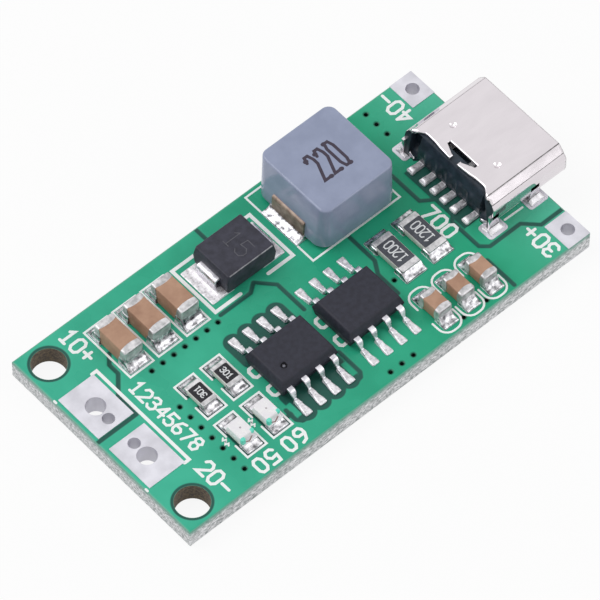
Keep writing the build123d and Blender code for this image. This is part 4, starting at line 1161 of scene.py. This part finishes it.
for side, inner, outer, rear_at in post_sides:
    spans = zip(post_up, inner, outer, rear_at)
    levels = [(seat + up, post_front - back, far - near, 0.05) for up, near, far, back in spans]
    points, faces = stacked(levels, end_plan)
    up = points[:, 2] - seat
    across = (np.interp(up, post_up, inner) + np.interp(up, post_up, outer)) / 2
    points[:, 0] += shell_x + (post_front + np.interp(up, post_up, rear_at)) / 2
    points[:, 1] += side * across
    posts.append((points, faces))
new_piece("socket_moulding", joined([body_shape, *posts]), socket_black, ["socket_body"])
refinish(socket_black, "socket_tongue")
# The contacts and latch plate are painted near pure white and not metallic: a painted highlight over their
# tinned metal.
contact_metal_highlight = coat("contact_metal_highlight", (252, 249, 254), (255, 255, 255), 0.4, (0.34, 0.46), bump=0.004)
refinish(contact_metal_highlight, "socket_contacts", "socket_plate")

# Solder: drawn up the ends of the parts by its own wetting, lying in rounded pools over the lands, with a
# bright skin that has set in wrinkles.
pool_rim = 0.13
seed = 7


def lumps(x, y, number):
    """Slow waves of three directions whose phases differ from pool to pool, within 1 either way."""
    phase = np.random.default_rng(seed + number).uniform(0, 2 * np.pi, 6)
    waves = np.sin(4.3 * x + 2.1 * y + phase[0]) + np.sin(-2.8 * x + 5.4 * y + phase[1])
    waves += 0.5 * np.sin(9.1 * x - 6.3 * y + phase[2])
    return waves / 2.5


def pool(box, rise_at, rise, number, reach=0.3, lump=0.02, skin_depth=0.07):
    """A pool over a land: it rises to the wall of the part that it holds.

    The height is the rim's quarter circle of the distance from the outline, plus the rise times the fall-off
    exp(-distance to the wall / reach), plus small waves. rise_at(x, y) gives the distance to the wall.
    """
    middle_x, middle_y = box_middle(box)
    length, width = box[3] - box[0] - 0.03, box[4] - box[1] - 0.03

    def skin(a, b):
        """Height of the skin over its land, for a place given from the land's middle."""
        inset = np.minimum(length / 2 - np.abs(a), width / 2 - np.abs(b))
        share = np.clip(inset / pool_rim, 0, 1)
        rim = np.sqrt(1 - (1 - share) ** 2)
        away = np.maximum(rise_at(a + middle_x, b + middle_y), 0)
        climb = rise * np.exp(-away / reach)
        return rim * (skin_depth + climb + lump * lumps(a, b, number))

    levels = [(box[5] - 0.02, length, width, 0.08), (box[5], length, width, 0.08)]
    return placed(stacked(levels, pool_plan, skin), (middle_x, middle_y, 0))


pool_plan = ring_plan(12, 12, 3)
solder_bright = coat(
    "solder", (104, 104, 108), (240, 238, 242), 0.36, (0.14, 0.34), metallic=0.9, bump=0.012,
    bump_grain=0.3,
)
chip_parts = [
    *((f"output_capacitor_{n}_ends", 0.75, 0.22) for n in range(1, 4)),
    *((f"input_capacitor_{n}_ends", 0.6, 0.2) for n in range(1, 4)),
    *((f"sense_resistor_{n}_ends", 0.4, 0.25) for n in range(1, 3)),
    *((f"light_resistor_{n}_ends", 0.34, 0.2) for n in range(1, 3)),
    *((f"indicator_light_{n}_ends", 0.2, 0.2) for n in range(1, 3)),
]
dull_solder = coat(
    "dull_solder", (206, 202, 207), (252, 250, 254), 0.24, (0.25, 0.4), metallic=0.35, bump=0.008,
    bump_grain=0.24,
)
pools, number = [], 0
for node, rise, reach in chip_parts:
    _, y, _, width, *_ = measured(node)
    for box in lands_at(node, 1, 0.8):
        number += 1
        pools.append(pool(box, lambda a, b: np.abs(b - y) - width / 2, rise, number, reach))
new_piece("chip_fillets", joined(pools), solder_bright, ["chip_solder"])

# Component lands: copper left open in the mask and tinned, a little proud of it. Those that carry the
# circuits' leads are narrower at the lead's heel.
lead_nodes = ("charge_controller_leads", "power_switch_leads")


def flared(shape, middle_x, away, half):
    """Narrows a lead's land or its pool: the share of the full width grows from heel to toe."""
    points, faces = shape
    share = np.interp(np.abs(points[:, 1] - away), (half - 0.5, half + 0.2, half + 0.6), (0.62, 0.8, 1.0))
    points[:, 0] = middle_x + (points[:, 0] - middle_x) * share
    return points, faces


shaped = []
for box in lands:
    middle_x, middle_y = box_middle(box)
    levels = [(z, box[3] - box[0], box[4] - box[1], 0.09) for z in (box[2], box[5])]
    land = placed(stacked(levels, pool_plan), (middle_x, middle_y, 0))
    for node in lead_nodes:
        if (lands_at(node, 1, 1.0) == box).all(axis=1).any():
            _, y, _, width, *_ = measured(node)
            land = flared(land, middle_x, y, width / 2)
    shaped.append(land)
new_piece("tinned_lands", joined(shaped), tinned, ["component_lands"])

# Solder at the leads and straps: flatter pools, dull where the pale lands show through, and bright
# beside the inductor.
pools = []
for node in lead_nodes:
    _, y, _, width, *_ = measured(node)
    for box in lands_at(node, 1, 1.0):
        number += 1
        shape = pool(box, lambda a, b: np.abs(b - y) - width / 2 + 0.1, 0.14, number, 0.25, lump=0.02)
        pools.append(flared(shape, box_middle(box)[0], y, width / 2))
new_piece("lead_fillets", joined(pools), dull_solder, ["lead_solder"])


def side_pools(node, rise, reach, lump, skin_depth, first):
    """Pools on the wide lands at both ends of a node along the board, numbered from the first."""
    x, _, length, *_ = measured(node)
    boxes = [box for box in lands_at(node, 0, 0.9) if box[4] - box[1] > 3.0]
    return [
        pool(box, lambda a, b: np.abs(a - x) - length / 2, rise, first + k, reach, lump, skin_depth)
        for k, box in enumerate(boxes)
    ]


pools = side_pools("diode_terminals", 0.1, 0.12, 0.006, 0.03, number + 1)
number += len(pools)
new_piece("diode_fillets", joined(pools), dull_solder, ["power_solder"])
pools = side_pools("inductor_core", 0.4, 0.25, 0.02, 0.07, number + 1)
number += len(pools)
new_piece("inductor_fillets", joined(pools), solder_bright)

# Solder at the socket: a pool round each leg where it drops into its slot, and one over the toe of each
# contact.
pools = []
for box in leg_lands:
    leg_x, leg_y = box_middle(box)
    leg_side = np.sign(leg_y)
    leg_y = leg_side * (shell_width - shell_wall) / 2
    number += 1

    def from_leg(a, b):
        """Distance in plan from the leg's outer face, with the side under the shell six times as far."""
        off_face = leg_side * (b - leg_y) - 0.12
        off_face = np.where(off_face > 0, off_face, -6 * off_face)
        return np.hypot(np.maximum(np.abs(a - leg_x) - 0.4, 0), off_face)

    inner_box = box + np.array((0.2, 0.2, 0, -0.2, -0.2, 0))
    pools.append(pool(inner_box, from_leg, 0.35, number, 0.2, 0.012, 0.05))
for box in lands:
    if shell_x - 1.2 < box[0] < shell_x + 0.5 and abs(box[1]) < 4 and box[4] - box[1] < 0.7:
        number += 1
        tip, middle_y = box[0] + 0.35, box_middle(box)[1]
        points, faces = pool(box, lambda a, b: np.abs(a - tip) * 0.6, 0.2, number, 0.5, lump=0.008)
        taper = np.interp(points[:, 0], (box[0], box[3]), (1.25, 0.7))
        points[:, 1] = middle_y + (points[:, 1] - middle_y) * taper
        pools.append((points, faces))
new_piece("socket_fillets", joined(pools), dull_solder, ["socket_solder"])

# Floor: a sheet of white paper under the module. The camera sees it nearly white, and it keeps the shadow.
half, level = 2.0, -0.00002
floor_mesh = bpy.data.meshes.new("floor")
spots = [(-half, -half, level), (half, -half, level), (half, half, level), (-half, half, level)]
floor_mesh.from_pydata(spots, [], [(0, 1, 2, 3)])
floor = bpy.data.objects.new("floor", floor_mesh)
bpy.context.scene.collection.objects.link(floor)


def seen_share(finish):
    """1 where a ray comes from the camera, straight, off a mirror or through a clear body, 0 elsewhere."""
    path = add(finish, "LightPath").outputs
    seen = path["Is Camera Ray"]
    for other in ("Is Glossy Ray", "Is Transmission Ray"):
        seen = add(finish, "Math", {0: seen, 1: path[other]}, operation="MAXIMUM").outputs[0]
    return seen


paper, paper_shader = new_finish("paper")
floor_mesh.materials.append(paper)
paper_shader.inputs["Base Color"].default_value = (0.9, 0.9, 0.9, 1)
paper_shader.inputs["Roughness"].default_value = 0.9
share = add(paper, "Math", {0: seen_share(paper), 1: 0.9}, operation="MULTIPLY")
white = add(paper, "Emission", {"Color": (1, 1, 1, 1), "Strength": 1.0})
mixed = add(paper, "MixShader", {0: share.outputs[0], 1: paper_shader.outputs[0], 2: white.outputs[0]})
paper.node_tree.links.new(mixed.outputs[0], paper.node_tree.nodes["Material Output"].inputs["Surface"])

# Light: one large soft lamp overhead to the rear left, a fill from the front right, and a pale room.
world = bpy.data.worlds.new("room")
bpy.context.scene.world = world
world.use_nodes = True
sky = world.node_tree.nodes["Background"]
sky.inputs["Strength"].default_value = 0.5
sky.inputs["Color"].default_value = (1, 1, 1, 1)
backdrop = add(world, "Background", {"Color": (1, 1, 1, 1), "Strength": 1.0})
mixed = add(world, "MixShader", {0: seen_share(world), 1: sky.outputs[0], 2: backdrop.outputs[0]})
world.node_tree.links.new(mixed.outputs[0], world.node_tree.nodes["World Output"].inputs["Surface"])


def lamp(name, place, size, power):
    """A square soft lamp that faces the module."""
    data = bpy.data.lights.new(name, "AREA")
    data.size = size
    data.energy = power
    item = bpy.data.objects.new(name, data)
    item.location = place
    item.rotation_euler = Vector(place).to_track_quat("Z", "Y").to_euler()
    bpy.context.scene.collection.objects.link(item)


lamp("key", (-0.25, 0.35, 0.55), 0.5, 2.0)
lamp("fill", (0.3, -0.4, 0.35), 0.4, 0.7)

bpy.context.scene.view_settings.view_transform = "Standard"
